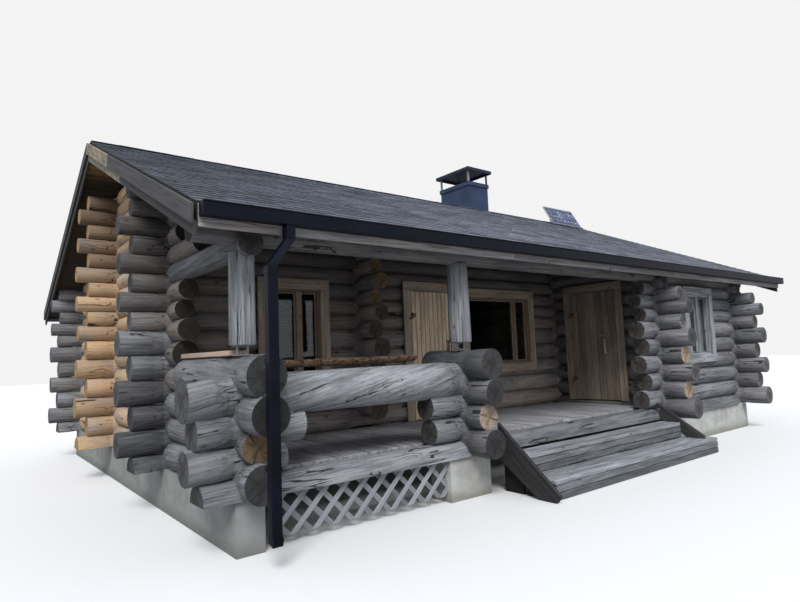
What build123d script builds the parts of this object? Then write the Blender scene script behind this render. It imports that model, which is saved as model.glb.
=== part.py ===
from build123d import *
import os
from math import cos, radians, sin, tan

# Log cabin with a recessed porch. X runs along the ridge, Y from the porch to the back, Z up from the ground.
# The origin of the ground plan is where the left gable wall crosses the line of the porch railing.

# Driving dimensions, mm
x_room = 6590            # wall beside the porch, left side of the room on the right
x_right = 9200           # right gable wall
y_living = 1870          # wall at the back of the porch
y_cross = 4250           # inner cross wall, only its log ends show
y_back = 6820            # back wall
x_partition = 2400       # inner partition, only its log ends show
x_stack = 2460           # stack of log ends that closes the railing

sill_z = 425             # underside of the lowest logs, top of the plinth
sill_half = 155          # height of the half log at the bottom
low_pitch = 254          # height of a course in the lower part
low_courses = 5
high_pitch = 200         # height of a course above that
high_courses = 11

long_end = 550           # how far a long log end stands out from the crossing
short_end = 430

ridge_y = 3680
ridge_z = 4430           # top of the roofing
front_rise = 0.43        # roof slopes, height over run
back_rise = 0.46
roof_depth = 150         # roofing and boards, measured upright
lining = 30              # boards under the overhang
roof_left = -500
roof_right = 10400
roof_front = -420
roof_back = 7760

floor_top = 580
board = 45
clearance = 8            # gap kept round everything that swings
sky = 6000               # a height above everything, for cutters
ground = 0

eave_log_bottom = 2450   # underside of the log that carries the front of the roof

os.makedirs("parts", exist_ok=True)

# Courses
oct_t = tan(radians(22.5))
wall_low = low_pitch / 2
bounds_x = [sill_z, sill_z + sill_half]
for course in range(low_courses):
    bounds_x.append(bounds_x[-1] + low_pitch)
for course in range(high_courses):
    bounds_x.append(bounds_x[-1] + high_pitch)
# centres of the logs along X; the lowest is a half log lying on its sawn face
centres_x = [sill_z] + [(bounds_x[i] + bounds_x[i + 1]) / 2 for i in range(1, len(bounds_x) - 1)]
# logs along Y sit half a course higher, from centre to centre of the others
count_y = len(centres_x) - 1


def log_x(i):
    """Centre height and half thickness of log i of a wall along X."""
    if i == 0:
        return sill_z, sill_half
    return (bounds_x[i] + bounds_x[i + 1]) / 2, (bounds_x[i + 1] - bounds_x[i]) / 2


def log_y(j):
    """Centre height and half thickness of log j of a wall along Y."""
    return (centres_x[j] + centres_x[j + 1]) / 2, (centres_x[j + 1] - centres_x[j]) / 2


def whole(u, z, r):
    """Outline of a log end, flats at the top, bottom and sides."""
    k = r * oct_t
    return [(u - k, z - r), (u + k, z - r), (u + r, z - k), (u + r, z + k),
            (u + k, z + r), (u - k, z + r), (u - r, z + k), (u - r, z - k)]


def upper(u, z, r):
    """Upper half of a log end: the saddle that the log above is notched over."""
    k = r * oct_t
    return [(u - r, z), (u + r, z), (u + r, z + k), (u + k, z + r), (u - k, z + r), (u - r, z + k)]


def slab(u0, u1, z0, z1):
    return [(u0, z0), (u1, z0), (u1, z1), (u0, z1)]


# side view planes: sketch x is Y or X of the building, sketch y is height
def across_x(x):
    """Plane at X = x, sketch axes Y and Z, extruding towards +X."""
    return Plane(origin=(x, 0, 0), x_dir=(0, 1, 0), z_dir=(1, 0, 0))


def across_y(y):
    """Plane at Y = y, sketch axes X and Z, extruding towards -Y."""
    return Plane(origin=(0, y, 0), x_dir=(1, 0, 0), z_dir=(0, -1, 0))


def run_x(x0, x1, shapes, mode=Mode.ADD):
    """Prisms along X from x0 to x1 with the given outlines in Y and Z."""
    with BuildSketch(across_x(x0)) as outlines:
        for points in shapes:
            with BuildLine() as edge:
                Polyline(*points, close=True)
            make_face(edge.edges())
    extrude(outlines.sketch, amount=x1 - x0, mode=mode)


def run_y(y0, y1, shapes, mode=Mode.ADD):
    """Prisms along Y from y0 to y1 with the given outlines in X and Z."""
    with BuildSketch(across_y(y1)) as outlines:
        for points in shapes:
            with BuildLine() as edge:
                Polyline(*points, close=True)
            make_face(edge.edges())
    extrude(outlines.sketch, amount=y1 - y0, mode=mode)


def block(x0, x1, y0, y1, z0, z1, mode=Mode.ADD):
    with Locations((x0, y0, z0)):
        Box(x1 - x0, y1 - y0, z1 - z0, align=(Align.MIN, Align.MIN, Align.MIN), mode=mode)


def notch_x(x, low, high, reach):
    """Cut the saddles of logs along Y, at X = x, out of a wall along X."""
    run_y(reach[0], reach[1], [upper(x, *log_y(j)) for j in range(low, high)], Mode.SUBTRACT)


def notch_y(y, low, high, reach):
    """Cut the saddles of logs along X, at Y = y, out of a wall along Y."""
    run_x(reach[0], reach[1], [upper(y, *log_x(i)) for i in range(low, high)], Mode.SUBTRACT)


def front_under(y):
    return ridge_z - roof_depth - lining - front_rise * (ridge_y - y)


def back_under(y):
    return ridge_z - roof_depth - lining - back_rise * (y - ridge_y)


def under_roof():
    """Everything above the underside of the two slopes, as an outline in Y and Z."""
    low, high = -2000, y_back + 2000
    slopes = [(low, front_under(low)), (ridge_y, front_under(ridge_y)), (high, back_under(high))]
    return slopes + [(high, sky), (low, sky)]


def trim_ends_x(x_long, x_short, y, odd, low, high):
    """Shorten every other log end of a wall along X."""
    for i in range(low, high):
        if i % 2 == odd:
            z, r = log_x(i)
            ends = sorted((x_long, x_short))
            block(*ends, y - 2 * r, y + 2 * r, z - r, z + r, Mode.SUBTRACT)


def trim_ends_y(y_long, y_short, x, odd, low, high):
    """Shorten every other log end of a wall along Y."""
    for j in range(low, high):
        if j % 2 == odd:
            z, r = log_y(j)
            ends = sorted((y_long, y_short))
            block(x - 2 * r, x + 2 * r, *ends, z - r, z + r, Mode.SUBTRACT)


outer = 400              # how far a cutter reaches past a wall
top_back = 11            # logs of the back wall, counted with the half log
top_living = 14
top_eave = 9
top_cross = 16
low_logs = 3             # whole logs of the low wall under its thick top log
rail_r = 165             # thick top log of the railing
rail_z = bounds_x[low_logs] + rail_r
low_top_r = 165          # thick top log of the low wall on the left
low_top_z = centres_x[low_logs] + low_top_r
stack_top_r = 155        # top log of the stack at the end of the railing
stack_top_z = centres_x[low_logs] + stack_top_r

# Doors and windows: along the wall, then height
door_a = (3200, 3945)
door_a_z = (floor_top, 2395)
door_b = (565, 1395)
door_b_z = (floor_top + 60, 2410)
casing = 130
casing_out = 25
window_a = (1000, 1790)
window_a_z = (1250, 2390)
window_b = (4290, 5790)
window_b_z = (1250, 2390)
window_c = (7350, 8180)
window_c_z = (1270, 2330)
leaf_thick = 45
frame_depth = 100

# Plinth
plinth_half = 120
pier_x = (2120, 2700)    # pier under the end of the railing
pier_back = 60           # how much deeper it is than the plinth
with BuildPart() as plinth:
    block(-plinth_half, plinth_half, -plinth_half, y_back + plinth_half, 0, sill_z)
    block(x_right - plinth_half, x_right + plinth_half, -plinth_half, y_back + plinth_half, 0, sill_z)
    block(plinth_half, x_right - plinth_half, y_back - plinth_half, y_back + plinth_half, 0, sill_z)
    block(plinth_half, x_room + plinth_half, y_living - plinth_half, y_living + plinth_half, 0, sill_z)
    block(x_room - plinth_half, x_room + plinth_half, -plinth_half, y_living - plinth_half, 0, sill_z)
    block(x_room + plinth_half, x_right - plinth_half, -plinth_half, plinth_half, 0, sill_z)
    block(*pier_x, -plinth_half, plinth_half + pier_back, 0, sill_z)
plinth.part.label = "plinth"

# Walls along X
with BuildPart() as back_wall:
    back_logs = [upper(y_back, *log_x(0))] + [whole(y_back, *log_x(i)) for i in range(1, top_back)]
    run_x(-long_end, x_right + long_end, back_logs)
    notch_x(0, 0, top_back, (y_back - outer, y_back + outer))
    notch_x(x_right, 0, top_back, (y_back - outer, y_back + outer))
    trim_ends_x(-long_end, -short_end, y_back, 0, 0, top_back)
    trim_ends_x(x_right + long_end, x_right + short_end, y_back, 0, 0, top_back)
    run_x(-long_end, x_right + long_end, [under_roof()], Mode.SUBTRACT)
back_wall.part.label = "back_wall"

living_logs = [upper(y_living, *log_x(0))] + [whole(y_living, *log_x(i)) for i in range(1, top_living)]
with BuildPart() as living_wall_left:
    run_x(-long_end, door_a[0], living_logs)
    notch_x(0, 0, top_living, (y_living - outer, y_living + outer))
    notch_x(x_partition, 0, top_living, (y_living - outer, y_living + outer))
    trim_ends_x(-long_end, -short_end, y_living, 0, 0, top_living)
    # the top log end stops behind the barge boards
    across = (y_living - outer, y_living + outer)
    block(-long_end, roof_left + 40, *across, bounds_x[top_living - 1], sky, Mode.SUBTRACT)
    block(*window_a, *across, *window_a_z, Mode.SUBTRACT)
living_wall_left.part.label = "living_wall_left"

with BuildPart() as living_wall_right:
    run_x(door_a[1], x_room + wall_low, living_logs)
    notch_x(x_room, 0, top_living, (y_living - outer, y_living + outer))
    block(*window_b, *across, *window_b_z, Mode.SUBTRACT)
living_wall_right.part.label = "living_wall_right"

with BuildPart() as living_wall_over_door:
    run_x(door_a[0], door_a[1], living_logs)
    block(*door_a, *across, ground, door_a_z[1], Mode.SUBTRACT)
living_wall_over_door.part.label = "living_wall_over_door"

front_logs = [upper(0, *log_x(0))] + [whole(0, *log_x(i)) for i in range(1, top_eave)]
with BuildPart() as room_front_wall:
    run_x(x_room - long_end, x_right + long_end, front_logs)
    notch_x(x_room, 0, top_eave, (-outer, outer))
    notch_x(x_right, 0, top_eave, (-outer, outer))
    trim_ends_x(x_room - long_end, x_room - short_end, 0, 0, 0, top_eave)
    trim_ends_x(x_right + long_end, x_right + short_end, 0, 0, 0, top_eave)
    block(*window_c, -outer, outer, *window_c_z, Mode.SUBTRACT)
    block(x_room - long_end, x_room - wall_low, -outer, outer, 0, bounds_x[1], Mode.SUBTRACT)
room_front_wall.part.label = "room_front_wall"

# Walls along Y
gable_line = under_roof()
side_logs = range(0, count_y)
forward_log = 8          # this log of the gable runs on over the porch and carries the eave log
forward_end = 200        # where it ends, in front of the eave log
second_end = 900         # where the log above it ends
eave_z = eave_log_bottom + high_pitch / 2
eave_outline = whole(0, eave_z, high_pitch / 2)

with BuildPart() as left_gable_wall:
    run_y(-long_end, y_back + long_end, [whole(0, *log_y(j)) for j in side_logs])
    # above the low wall the logs end a little in front of the porch's back wall
    open_side = (-long_end, y_living - long_end)
    block(-outer, outer, *open_side, centres_x[low_logs], centres_x[forward_log], Mode.SUBTRACT)
    block(-outer, outer, -long_end, -forward_end, centres_x[forward_log], sky, Mode.SUBTRACT)
    block(-outer, outer, -long_end, second_end, centres_x[forward_log + 1], sky, Mode.SUBTRACT)
    trim_ends_y(-long_end, -short_end, 0, 1, 0, low_logs)
    trim_ends_y(y_living - long_end, y_living - short_end, 0, 0, low_logs, forward_log)
    trim_ends_y(y_back + long_end, y_back + short_end, 0, 1, 0, top_back)
    block(-outer, outer, y_back + wall_low, y_back + long_end, bounds_x[top_back], sky, Mode.SUBTRACT)
    notch_y(0, 0, low_logs, (-outer, outer))
    notch_y(y_living, 0, top_living, (-outer, outer))
    notch_y(y_cross, 0, top_cross, (-outer, outer))
    notch_y(y_back, 0, top_back, (-outer, outer))
    run_x(-outer, outer, [whole(0, rail_z, rail_r), eave_outline], Mode.SUBTRACT)
    run_x(-outer, outer, [gable_line], Mode.SUBTRACT)
left_gable_wall.part.label = "left_gable_wall"

with BuildPart() as right_gable_wall:
    run_y(-long_end, y_back + long_end, [whole(x_right, *log_y(j)) for j in side_logs])
    trim_ends_y(-long_end, -short_end, x_right, 1, 0, top_eave)
    block(x_right - outer, x_right + outer, -long_end, -forward_end, bounds_x[top_eave], sky, Mode.SUBTRACT)
    trim_ends_y(y_back + long_end, y_back + short_end, x_right, 1, 0, top_back)
    past_back = (y_back + wall_low, y_back + long_end)
    block(x_right - outer, x_right + outer, *past_back, bounds_x[top_back], sky, Mode.SUBTRACT)
    notch_y(0, 0, top_eave, (x_right - outer, x_right + outer))
    notch_y(y_back, 0, top_back, (x_right - outer, x_right + outer))
    run_x(x_right - outer, x_right + outer, [eave_outline, gable_line], Mode.SUBTRACT)
right_gable_wall.part.label = "right_gable_wall"

room_logs = [whole(x_room, *log_y(j)) for j in range(0, top_living)]
with BuildPart() as room_side_front:
    run_y(-long_end, door_b[0], room_logs)
    trim_ends_y(-long_end, -short_end, x_room, 1, 0, top_eave)
    notch_y(0, 0, top_eave, (x_room - outer, x_room + outer))
    run_x(x_room - outer, x_room + outer, [eave_outline, gable_line], Mode.SUBTRACT)
    block(x_room - outer, x_room + outer, -long_end, -forward_end, bounds_x[top_eave], sky, Mode.SUBTRACT)
    # sawn flat behind the door casing
    block(x_room - outer, x_room - wall_low, door_b[0] - casing, door_b[0], 0, sky, Mode.SUBTRACT)
room_side_front.part.label = "room_side_front"

with BuildPart() as room_side_back:
    run_y(door_b[1], y_living + wall_low, room_logs)
    notch_y(y_living, 0, top_living, (x_room - outer, x_room + outer))
    run_x(x_room - outer, x_room + outer, [gable_line], Mode.SUBTRACT)
    block(x_room - outer, x_room - wall_low, door_b[1], door_b[1] + casing, 0, sky, Mode.SUBTRACT)
room_side_back.part.label = "room_side_back"

with BuildPart() as room_side_over_door:
    run_y(door_b[0], door_b[1], room_logs)
    block(x_room - outer, x_room + outer, door_b[0], door_b[1], 0, door_b_z[1], Mode.SUBTRACT)
    run_x(x_room - outer, x_room + outer, [gable_line], Mode.SUBTRACT)
room_side_over_door.part.label = "room_side_over_door"

# the logs that run through under the two doors
with BuildPart() as thresholds:
    run_x(door_a[0], door_a[1], living_logs[:2])
    block(*door_a, *across, door_a_z[0] - clearance, sky, Mode.SUBTRACT)
    run_y(door_b[0], door_b[1], room_logs[:1])
    block(x_room - outer, x_room + outer, door_b[0], door_b[1], door_b_z[0] - clearance, sky, Mode.SUBTRACT)
    block(x_room - outer, x_room - wall_low, door_b[0], door_b[1], 0, sky, Mode.SUBTRACT)
thresholds.part.label = "thresholds"

# Log ends of the inner walls
with BuildPart() as gable_cross_logs:
    cross_logs = [upper(y_cross, *log_x(0))] + [whole(y_cross, *log_x(i)) for i in range(1, top_cross)]
    run_x(-long_end, wall_low, cross_logs)
    trim_ends_x(-long_end, -short_end, y_cross, 1, 0, top_cross)
    notch_x(0, 0, top_cross, (y_cross - outer, y_cross + outer))
gable_cross_logs.part.label = "gable_cross_logs"

with BuildPart() as partition_log_ends:
    partition_logs = [whole(x_partition, *log_y(j)) for j in range(0, top_living - 1)]
    run_y(y_living - long_end, y_living + wall_low, partition_logs)
    trim_ends_y(y_living - long_end, y_living - short_end, x_partition, 1, 0, top_living - 1)
    notch_y(y_living, 0, top_living, (x_partition - outer, x_partition + outer))
    over_deck = (y_living - long_end, y_living - wall_low)
    block(x_partition - outer, x_partition + outer, *over_deck, 0, floor_top, Mode.SUBTRACT)
    run_x(x_partition - outer, x_partition + outer, [gable_line], Mode.SUBTRACT)
partition_log_ends.part.label = "partition_log_ends"

# Porch: sill, railing, low wall, posts, eave log
with BuildPart() as porch_sill_log:
    run_x(-short_end, x_room - wall_low, [upper(0, *log_x(0))])
porch_sill_log.part.label = "porch_sill_log"

rail_end = 480           # how far the top log of the railing stands out to the left
rail_past = 150          # and how far it runs past its end stack
with BuildPart() as porch_rail_log:
    run_x(-rail_end, x_stack + rail_past, [whole(0, rail_z, rail_r)])
porch_rail_log.part.label = "porch_rail_log"

# short logs under it, at both ends: first the lower one, then the upper one
stub_left = (330, 500)
stub_right = (1960, 1920)
stub_past = 170
with BuildPart() as porch_rail_stubs:
    for i, left, right in zip((1, 2), stub_left, stub_right):
        run_x(-rail_end, left, [whole(0, *log_x(i))])
        run_x(right, x_stack + stub_past, [whole(0, *log_x(i))])
    trim_ends_x(-rail_end, -short_end, 0, 0, 1, low_logs)
    notch_x(0, 0, low_logs, (-outer, outer))
    notch_x(x_stack, 0, low_logs, (-outer, outer))
porch_rail_stubs.part.label = "porch_rail_stubs"

low_top_end = 500
with BuildPart() as low_wall_top_log:
    run_y(-low_top_end, y_living - long_end, [whole(0, low_top_z, low_top_r)])
    run_x(-outer, outer, [whole(0, rail_z, rail_r)], Mode.SUBTRACT)
low_wall_top_log.part.label = "low_wall_top_log"

# how far each log of the end stack stands out to the front, and how far it runs over the deck
stack_out = (440, 360, 470)
stack_in = (sill_half, 300, 320)
stack_top_out = 450
stack_top_in = 480
with BuildPart() as rail_end_stack:
    for j, out, into in zip(range(low_logs), stack_out, stack_in):
        run_y(-out, into, [whole(x_stack, *log_y(j))])
    run_y(-stack_top_out, stack_top_in, [whole(x_stack, stack_top_z, stack_top_r)])
    notch_y(0, 0, low_logs, (x_stack - outer, x_stack + outer))
    run_x(x_stack - outer, x_stack + outer, [whole(0, rail_z, rail_r)], Mode.SUBTRACT)
rail_end_stack.part.label = "rail_end_stack"

# thick plank on the railing and a thinner one on the low wall
rail_shelf_x = (200, 1860)
rail_shelf_y = (-20, 220)
rail_shelf = 75
low_shelf_half = 90
low_shelf_y = (100, 1300)
with BuildPart() as shelf_planks:
    block(*rail_shelf_x, *rail_shelf_y, rail_z + rail_r, rail_z + rail_r + rail_shelf)
    block(-low_shelf_half, low_shelf_half, *low_shelf_y, low_top_z + low_top_r, low_top_z + low_top_r + board)
shelf_planks.part.label = "shelf_planks"

post_r = 115
corner_post_r = 107
jack_gap = 85            # the posts stand on screw jacks, which take up the settling of the walls
jack_plate = (70, 50, 8) # half width, half depth and thickness
jack_rod_x = 45
jack_rod_r = 10
post_a_bottom = low_top_z + low_top_r + jack_gap
post_b_bottom = stack_top_z + stack_top_r + jack_gap


def post(x, r, bottom, top):
    """Round post standing on its jack."""
    with BuildSketch(Plane.XY.offset(bottom)) as foot:
        with Locations((x, 0)):
            RegularPolygon(r, 12, major_radius=False)
    extrude(foot.sketch, amount=top - bottom)


with BuildPart() as porch_posts:
    # the corner post is hollowed on top for the log that it carries
    carried_z, carried_r = log_y(forward_log)
    post(0, corner_post_r, post_a_bottom, carried_z - oct_t * carried_r)
    run_y(-outer, outer, [whole(0, *log_y(forward_log))], Mode.SUBTRACT)
    post(x_stack, post_r, post_b_bottom, eave_log_bottom)
porch_posts.part.label = "porch_posts"

with BuildPart() as screw_jacks:
    wide, deep, thick = jack_plate
    for x, foot in ((0, post_a_bottom - jack_gap), (x_stack, post_b_bottom - jack_gap)):
        for z in (foot, foot + jack_gap - thick):
            block(x - wide, x + wide, -deep, deep, z, z + thick)
        with BuildSketch(Plane.XY.offset(foot + thick)) as rods:
            with Locations((x - jack_rod_x, 0), (x + jack_rod_x, 0)):
                RegularPolygon(jack_rod_r, 8)
        extrude(rods.sketch, amount=jack_gap - 2 * thick)
screw_jacks.part.label = "screw_jacks"

with BuildPart() as eave_log:
    run_x(-short_end, x_right + short_end, [eave_outline])
    run_x(-short_end, x_right + short_end, [gable_line], Mode.SUBTRACT)
eave_log.part.label = "eave_log"

ridge_r = 90
ridge_seat = 5           # the ridge log is hewn to fit the two slopes
with BuildPart() as ridge_log:
    ridge_centre = front_under(ridge_y) - ridge_r + ridge_seat
    run_x(wall_low, x_right - wall_low, [whole(ridge_y, ridge_centre, ridge_r)])
    run_x(wall_low, x_right - wall_low, [gable_line], Mode.SUBTRACT)
ridge_log.part.label = "ridge_log"

# Floors
wall_y0 = log_y(0)[1]
joists = 8
joist_half = 25
joist_edge = 160         # from the walls to the first and the last joist
with BuildPart() as porch_deck:
    deck_left, deck_right = wall_y0, x_room - wall_y0
    block(deck_left, deck_right, sill_half, y_living - sill_half, floor_top - board, floor_top)
    for k in range(joists):
        x = deck_left + joist_edge + k * (deck_right - deck_left - 2 * joist_edge) / (joists - 1)
        block(x - joist_half, x + joist_half, sill_half, y_living - sill_half, sill_z, floor_top - board)
porch_deck.part.label = "porch_deck"

with BuildPart() as indoor_floor:
    block(wall_y0, x_right - wall_y0, y_living + sill_half, y_back - sill_half, sill_z, floor_top)
    block(x_room + wall_y0, x_right - wall_y0, sill_half, y_living + sill_half, sill_z, floor_top)
indoor_floor.part.label = "indoor_floor"

# Roof
roof_total = roof_depth + lining


def front_top(y):
    return ridge_z - front_rise * (ridge_y - y)


def back_top(y):
    return ridge_z - back_rise * (y - ridge_y)


with BuildPart() as roof_front_slope:
    eave = front_top(roof_front)
    run_x(roof_left, roof_right, [[(roof_front, eave), (ridge_y, ridge_z), (ridge_y, ridge_z - roof_total),
                                   (roof_front, eave - roof_total)]])
roof_front_slope.part.label = "roof_front_slope"

with BuildPart() as roof_back_slope:
    eave = back_top(roof_back)
    run_x(roof_left, roof_right, [[(roof_back, eave), (ridge_y, ridge_z), (ridge_y, ridge_z - roof_total),
                                   (roof_back, eave - roof_total)]])
roof_back_slope.part.label = "roof_back_slope"

barge = 25
barge_upper = (20, 175)      # top and bottom edge under the roof surface, measured upright
barge_lower = (150, 265)


def rake(top, bottom):
    """Outline of a board along both slopes, its edges measured down from the roof surface."""
    front, back = front_top(roof_front), back_top(roof_back)
    return [(roof_front, front - top), (ridge_y, ridge_z - top), (roof_back, back - top),
            (roof_back, back - bottom), (ridge_y, ridge_z - bottom), (roof_front, front - bottom)]


with BuildPart() as barge_boards:
    run_x(roof_left - barge, roof_left, [rake(*barge_lower)])
    run_x(roof_left - 2 * barge, roof_left - barge, [rake(*barge_upper)])
    run_x(roof_right, roof_right + barge, [rake(*barge_lower)])
    run_x(roof_right + barge, roof_right + 2 * barge, [rake(*barge_upper)])
barge_boards.part.label = "barge_boards"

fascia_thick = 28
fascia_drop = 20         # top edge under the roof surface
fascia_front = 175       # height of the front fascia, which hangs below the gutter
fascia_back = 180
with BuildPart() as fascias:
    high = front_top(roof_front) - fascia_drop
    block(roof_left, roof_right, roof_front - fascia_thick, roof_front, high - fascia_front, high)
    high = back_top(roof_back) - fascia_drop
    block(roof_left, roof_right, roof_back, roof_back + fascia_thick, high - fascia_back, high)
fascias.part.label = "fascias"

gutter_wide = 95
gutter_high = 105
gutter_wall = 5
gutter_back = roof_front - fascia_thick
gutter_front = gutter_back - gutter_wide
gutter_floor = front_top(roof_front) - fascia_drop - gutter_high
with BuildPart() as gutter:
    block(roof_left, roof_right, gutter_front, gutter_back, gutter_floor, gutter_floor + gutter_high)
    inner_x = (roof_left + gutter_wall, roof_right - gutter_wall)
    inner_y = (gutter_front + gutter_wall, gutter_back - gutter_wall)
    block(*inner_x, *inner_y, gutter_floor + gutter_wall, gutter_floor + gutter_high, Mode.SUBTRACT)
gutter.part.label = "gutter"

pipe = 75
pipe_x = -30
pipe_y = gutter_front - 70
pipe_foot = 60
elbow_low = 2120
elbow_high = 2470
outlet_x = 185
outlet_y = gutter_back - gutter_wide / 2
with BuildPart() as downspout:
    with BuildSketch(Plane.XY.offset(elbow_low)) as low_mouth:
        with Locations((pipe_x, pipe_y)):
            Rectangle(pipe, pipe)
    extrude(low_mouth.sketch, amount=pipe_foot - elbow_low)
    with BuildSketch(Plane.XY.offset(elbow_high)) as high_mouth:
        with Locations((outlet_x, outlet_y)):
            Rectangle(pipe, pipe)
    loft([low_mouth.sketch.face(), high_mouth.sketch.face()], ruled=True)
    extrude(high_mouth.sketch, amount=gutter_floor - elbow_high)
downspout.part.label = "downspout"

# Chimney: a square shaft clad in sheet metal, with a collar and a flat hood
chimney_x = (6700, 7280)
chimney_y = (3900, 4770)
chimney_top = 5110
collar = 20              # how far the collar stands out
collar_high = 85
flue_wall = 120
flue_depth = 400
with BuildPart() as chimney:
    near, far = chimney_y
    shaft = [(near, back_top(near)), (far, back_top(far)), (far, chimney_top), (near, chimney_top)]
    run_x(*chimney_x, [shaft])
    rim = chimney_top + collar_high - 75
    block(chimney_x[0] - collar, chimney_x[1] + collar, near - collar, far + collar, rim - collar_high, rim)
    flue = (chimney_x[0] + flue_wall, chimney_x[1] - flue_wall, near + flue_wall, far - flue_wall)
    block(*flue, rim - flue_depth, rim, Mode.SUBTRACT)
chimney.part.label = "chimney"

hood_gap = 270
hood_out = 70
hood_thick = 25
hood_leg = 15            # half width of a leg
hood_skirt = 40          # the edge is folded down this far
with BuildPart() as chimney_hood:
    hood_z = rim + hood_gap
    x0, x1 = chimney_x[0] - hood_out, chimney_x[1] + hood_out
    y0, y1 = near - hood_out, far + hood_out
    block(x0, x1, y0, y1, hood_z - hood_skirt, hood_z + hood_thick)
    inner = (x0 + hood_leg, x1 - hood_leg, y0 + hood_leg, y1 - hood_leg)
    block(*inner, hood_z - hood_skirt, hood_z, Mode.SUBTRACT)
    for x in (chimney_x[0] + hood_leg, chimney_x[1] - hood_leg):
        for y in (near + hood_leg, far - hood_leg):
            block(x - hood_leg, x + hood_leg, y - hood_leg, y + hood_leg, rim, hood_z)
chimney_hood.part.label = "chimney_hood"

# Solar panel, leaning back over the ridge on two legs
panel_x = (9010, 10090)
panel_y = ridge_y - 160  # lower front edge
panel_lift = 11
panel_length = 529
panel_thick = 35
panel_tilt = radians(59.3)
panel_leg_x = 150        # from the ends of the panel to its legs
panel_leg = 30
with BuildPart() as solar_panel:
    foot = (panel_y, front_top(panel_y) + panel_lift)
    up = (panel_length * cos(panel_tilt), panel_length * sin(panel_tilt))
    back = (-panel_thick * sin(panel_tilt), panel_thick * cos(panel_tilt))
    head = (foot[0] + up[0], foot[1] + up[1])
    outline = [(foot[0] + back[0], foot[1] + back[1]), foot, head, (head[0] + back[0], head[1] + back[1])]
    run_x(*panel_x, [outline])
    share = 0.7              # how far up the panel the legs reach
    top = (foot[0] + share * up[0] + back[0] / 2, foot[1] + share * up[1] + back[1] / 2)
    toe = panel_y + 2 * panel_leg
    heel = ridge_y + panel_leg
    behind = (top[0] + panel_leg, top[1])
    leg_outline = [(toe, front_top(toe)), (ridge_y, ridge_z), (heel, back_top(heel)), behind, top]
    for x in (panel_x[0] + panel_leg_x, panel_x[1] - panel_leg_x - panel_leg):
        run_x(x, x + panel_leg, [leg_outline])
solar_panel.part.label = "solar_panel"

# Steps and cheek boards
tread_rise = 200
step_x = (2850, 6225)
step_a = (-450, -sill_half)      # front and back of the upper step
step_b = (-830, step_a[0])
step_b_x = (step_x[0] + 30, step_x[1] + 240)
step_wall = 35
with BuildPart() as upper_step:
    block(*step_x, *step_a, ground, 2 * tread_rise)
    block(step_x[0] + step_wall, step_x[1] - step_wall, step_a[0] + step_wall, step_a[1], ground,
          2 * tread_rise - board, Mode.SUBTRACT)
upper_step.part.label = "upper_step"

with BuildPart() as lower_step:
    block(*step_b_x, *step_b, ground, tread_rise)
    block(step_b_x[0] + step_wall, step_b_x[1] - step_wall, step_b[0] + step_wall, step_b[1], ground,
          tread_rise - board, Mode.SUBTRACT)
lower_step.part.label = "lower_step"

cheek = 45
cheek_lap = 5            # gap between a cheek and the side of the step
with BuildPart() as cheek_boards:
    left_cheek = [(-sill_half, 730), (-926, 73), (-870, ground), (-657, ground), (-sill_half, 350)]
    run_x(step_x[0] - cheek_lap - cheek, step_x[0] - cheek_lap, [left_cheek])
    right_cheek = [(-sill_half, 620), (-755, tread_rise), (-520, tread_rise), (-sill_half, 440)]
    run_x(step_x[1] + cheek_lap, step_x[1] + cheek_lap + cheek, [right_cheek])
cheek_boards.part.label = "cheek_boards"

# Lattice under the railing
lattice_x = (plinth_half + 5, pier_x[0] - 5)
lattice_z = (70, sill_z)
lattice_y = -60
bar = 38
bar_thick = 16
bar_step = 155
bar_lean = 300           # a bar runs this far to the side over its height
bar_run = (-100, 500)    # heights between which a bar is drawn before the panel is trimmed
with BuildPart() as lattice:
    with BuildSketch(across_y(lattice_y)) as bars:
        for k in range(-4, 18):
            x = lattice_x[0] + k * bar_step
            for lean in (bar_lean, -bar_lean):
                foot, head, wide = x - lean, x + lean, bar / cos(radians(45))
                with BuildLine() as edge:
                    Polyline((foot, bar_run[0]), (foot + wide, bar_run[0]), (head + wide, bar_run[1]),
                             (head, bar_run[1]), close=True)
                make_face(edge.edges())
        with BuildLine() as edge:
            Polyline(*slab(*lattice_x, *lattice_z), close=True)
        make_face(edge.edges(), mode=Mode.INTERSECT)
    extrude(bars.sketch, amount=bar_thick)
lattice.part.label = "lattice"

# Windows
face_living = y_living - wall_low
face_front = -wall_low
face_room = x_room - wall_low
frame_bar = 75


frame_set = 20           # the frame stands this far back from the face of the wall
casing_lap = 45          # the casing covers this much of the frame
glass = 8
glass_set = 70


def panes(opening, stiles):
    """Left and right edge of each pane."""
    edges = [opening[0] + frame_bar] + [v for pair in stiles for v in pair] + [opening[1] - frame_bar]
    return zip(edges[::2], edges[1::2])


def window(opening, heights, face, stiles):
    """Frame in the wall, upright bars at the given places and a casing on the outside."""
    x0, x1 = opening
    z0, z1 = heights
    out = casing - casing_lap
    block(x0, x1, face, face + frame_set + frame_depth, z0, z1)
    through = (face, face + frame_set + frame_depth, z0 + frame_bar, z1 - frame_bar)
    for left, right in panes(opening, stiles):
        block(left, right, *through, Mode.SUBTRACT)
    block(x0 - out, x1 + out, face - casing_out, face, z0 - out, z1 + out)
    in_front = (face - casing_out, face + frame_set)
    block(x0 + casing_lap, x1 - casing_lap, *in_front, z0 + casing_lap, z1 - casing_lap, Mode.SUBTRACT)


stiles_a = [(1425, 1507)]
stiles_b = [(5400, 5455)]
stiles_c = [(7740, 7800)]
with BuildPart() as porch_windows:
    window(window_a, window_a_z, face_living, stiles_a)
    window(window_b, window_b_z, face_living, stiles_b)
porch_windows.part.label = "porch_windows"

with BuildPart() as window_room:
    window(window_c, window_c_z, face_front, stiles_c)
window_room.part.label = "window_room"

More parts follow.
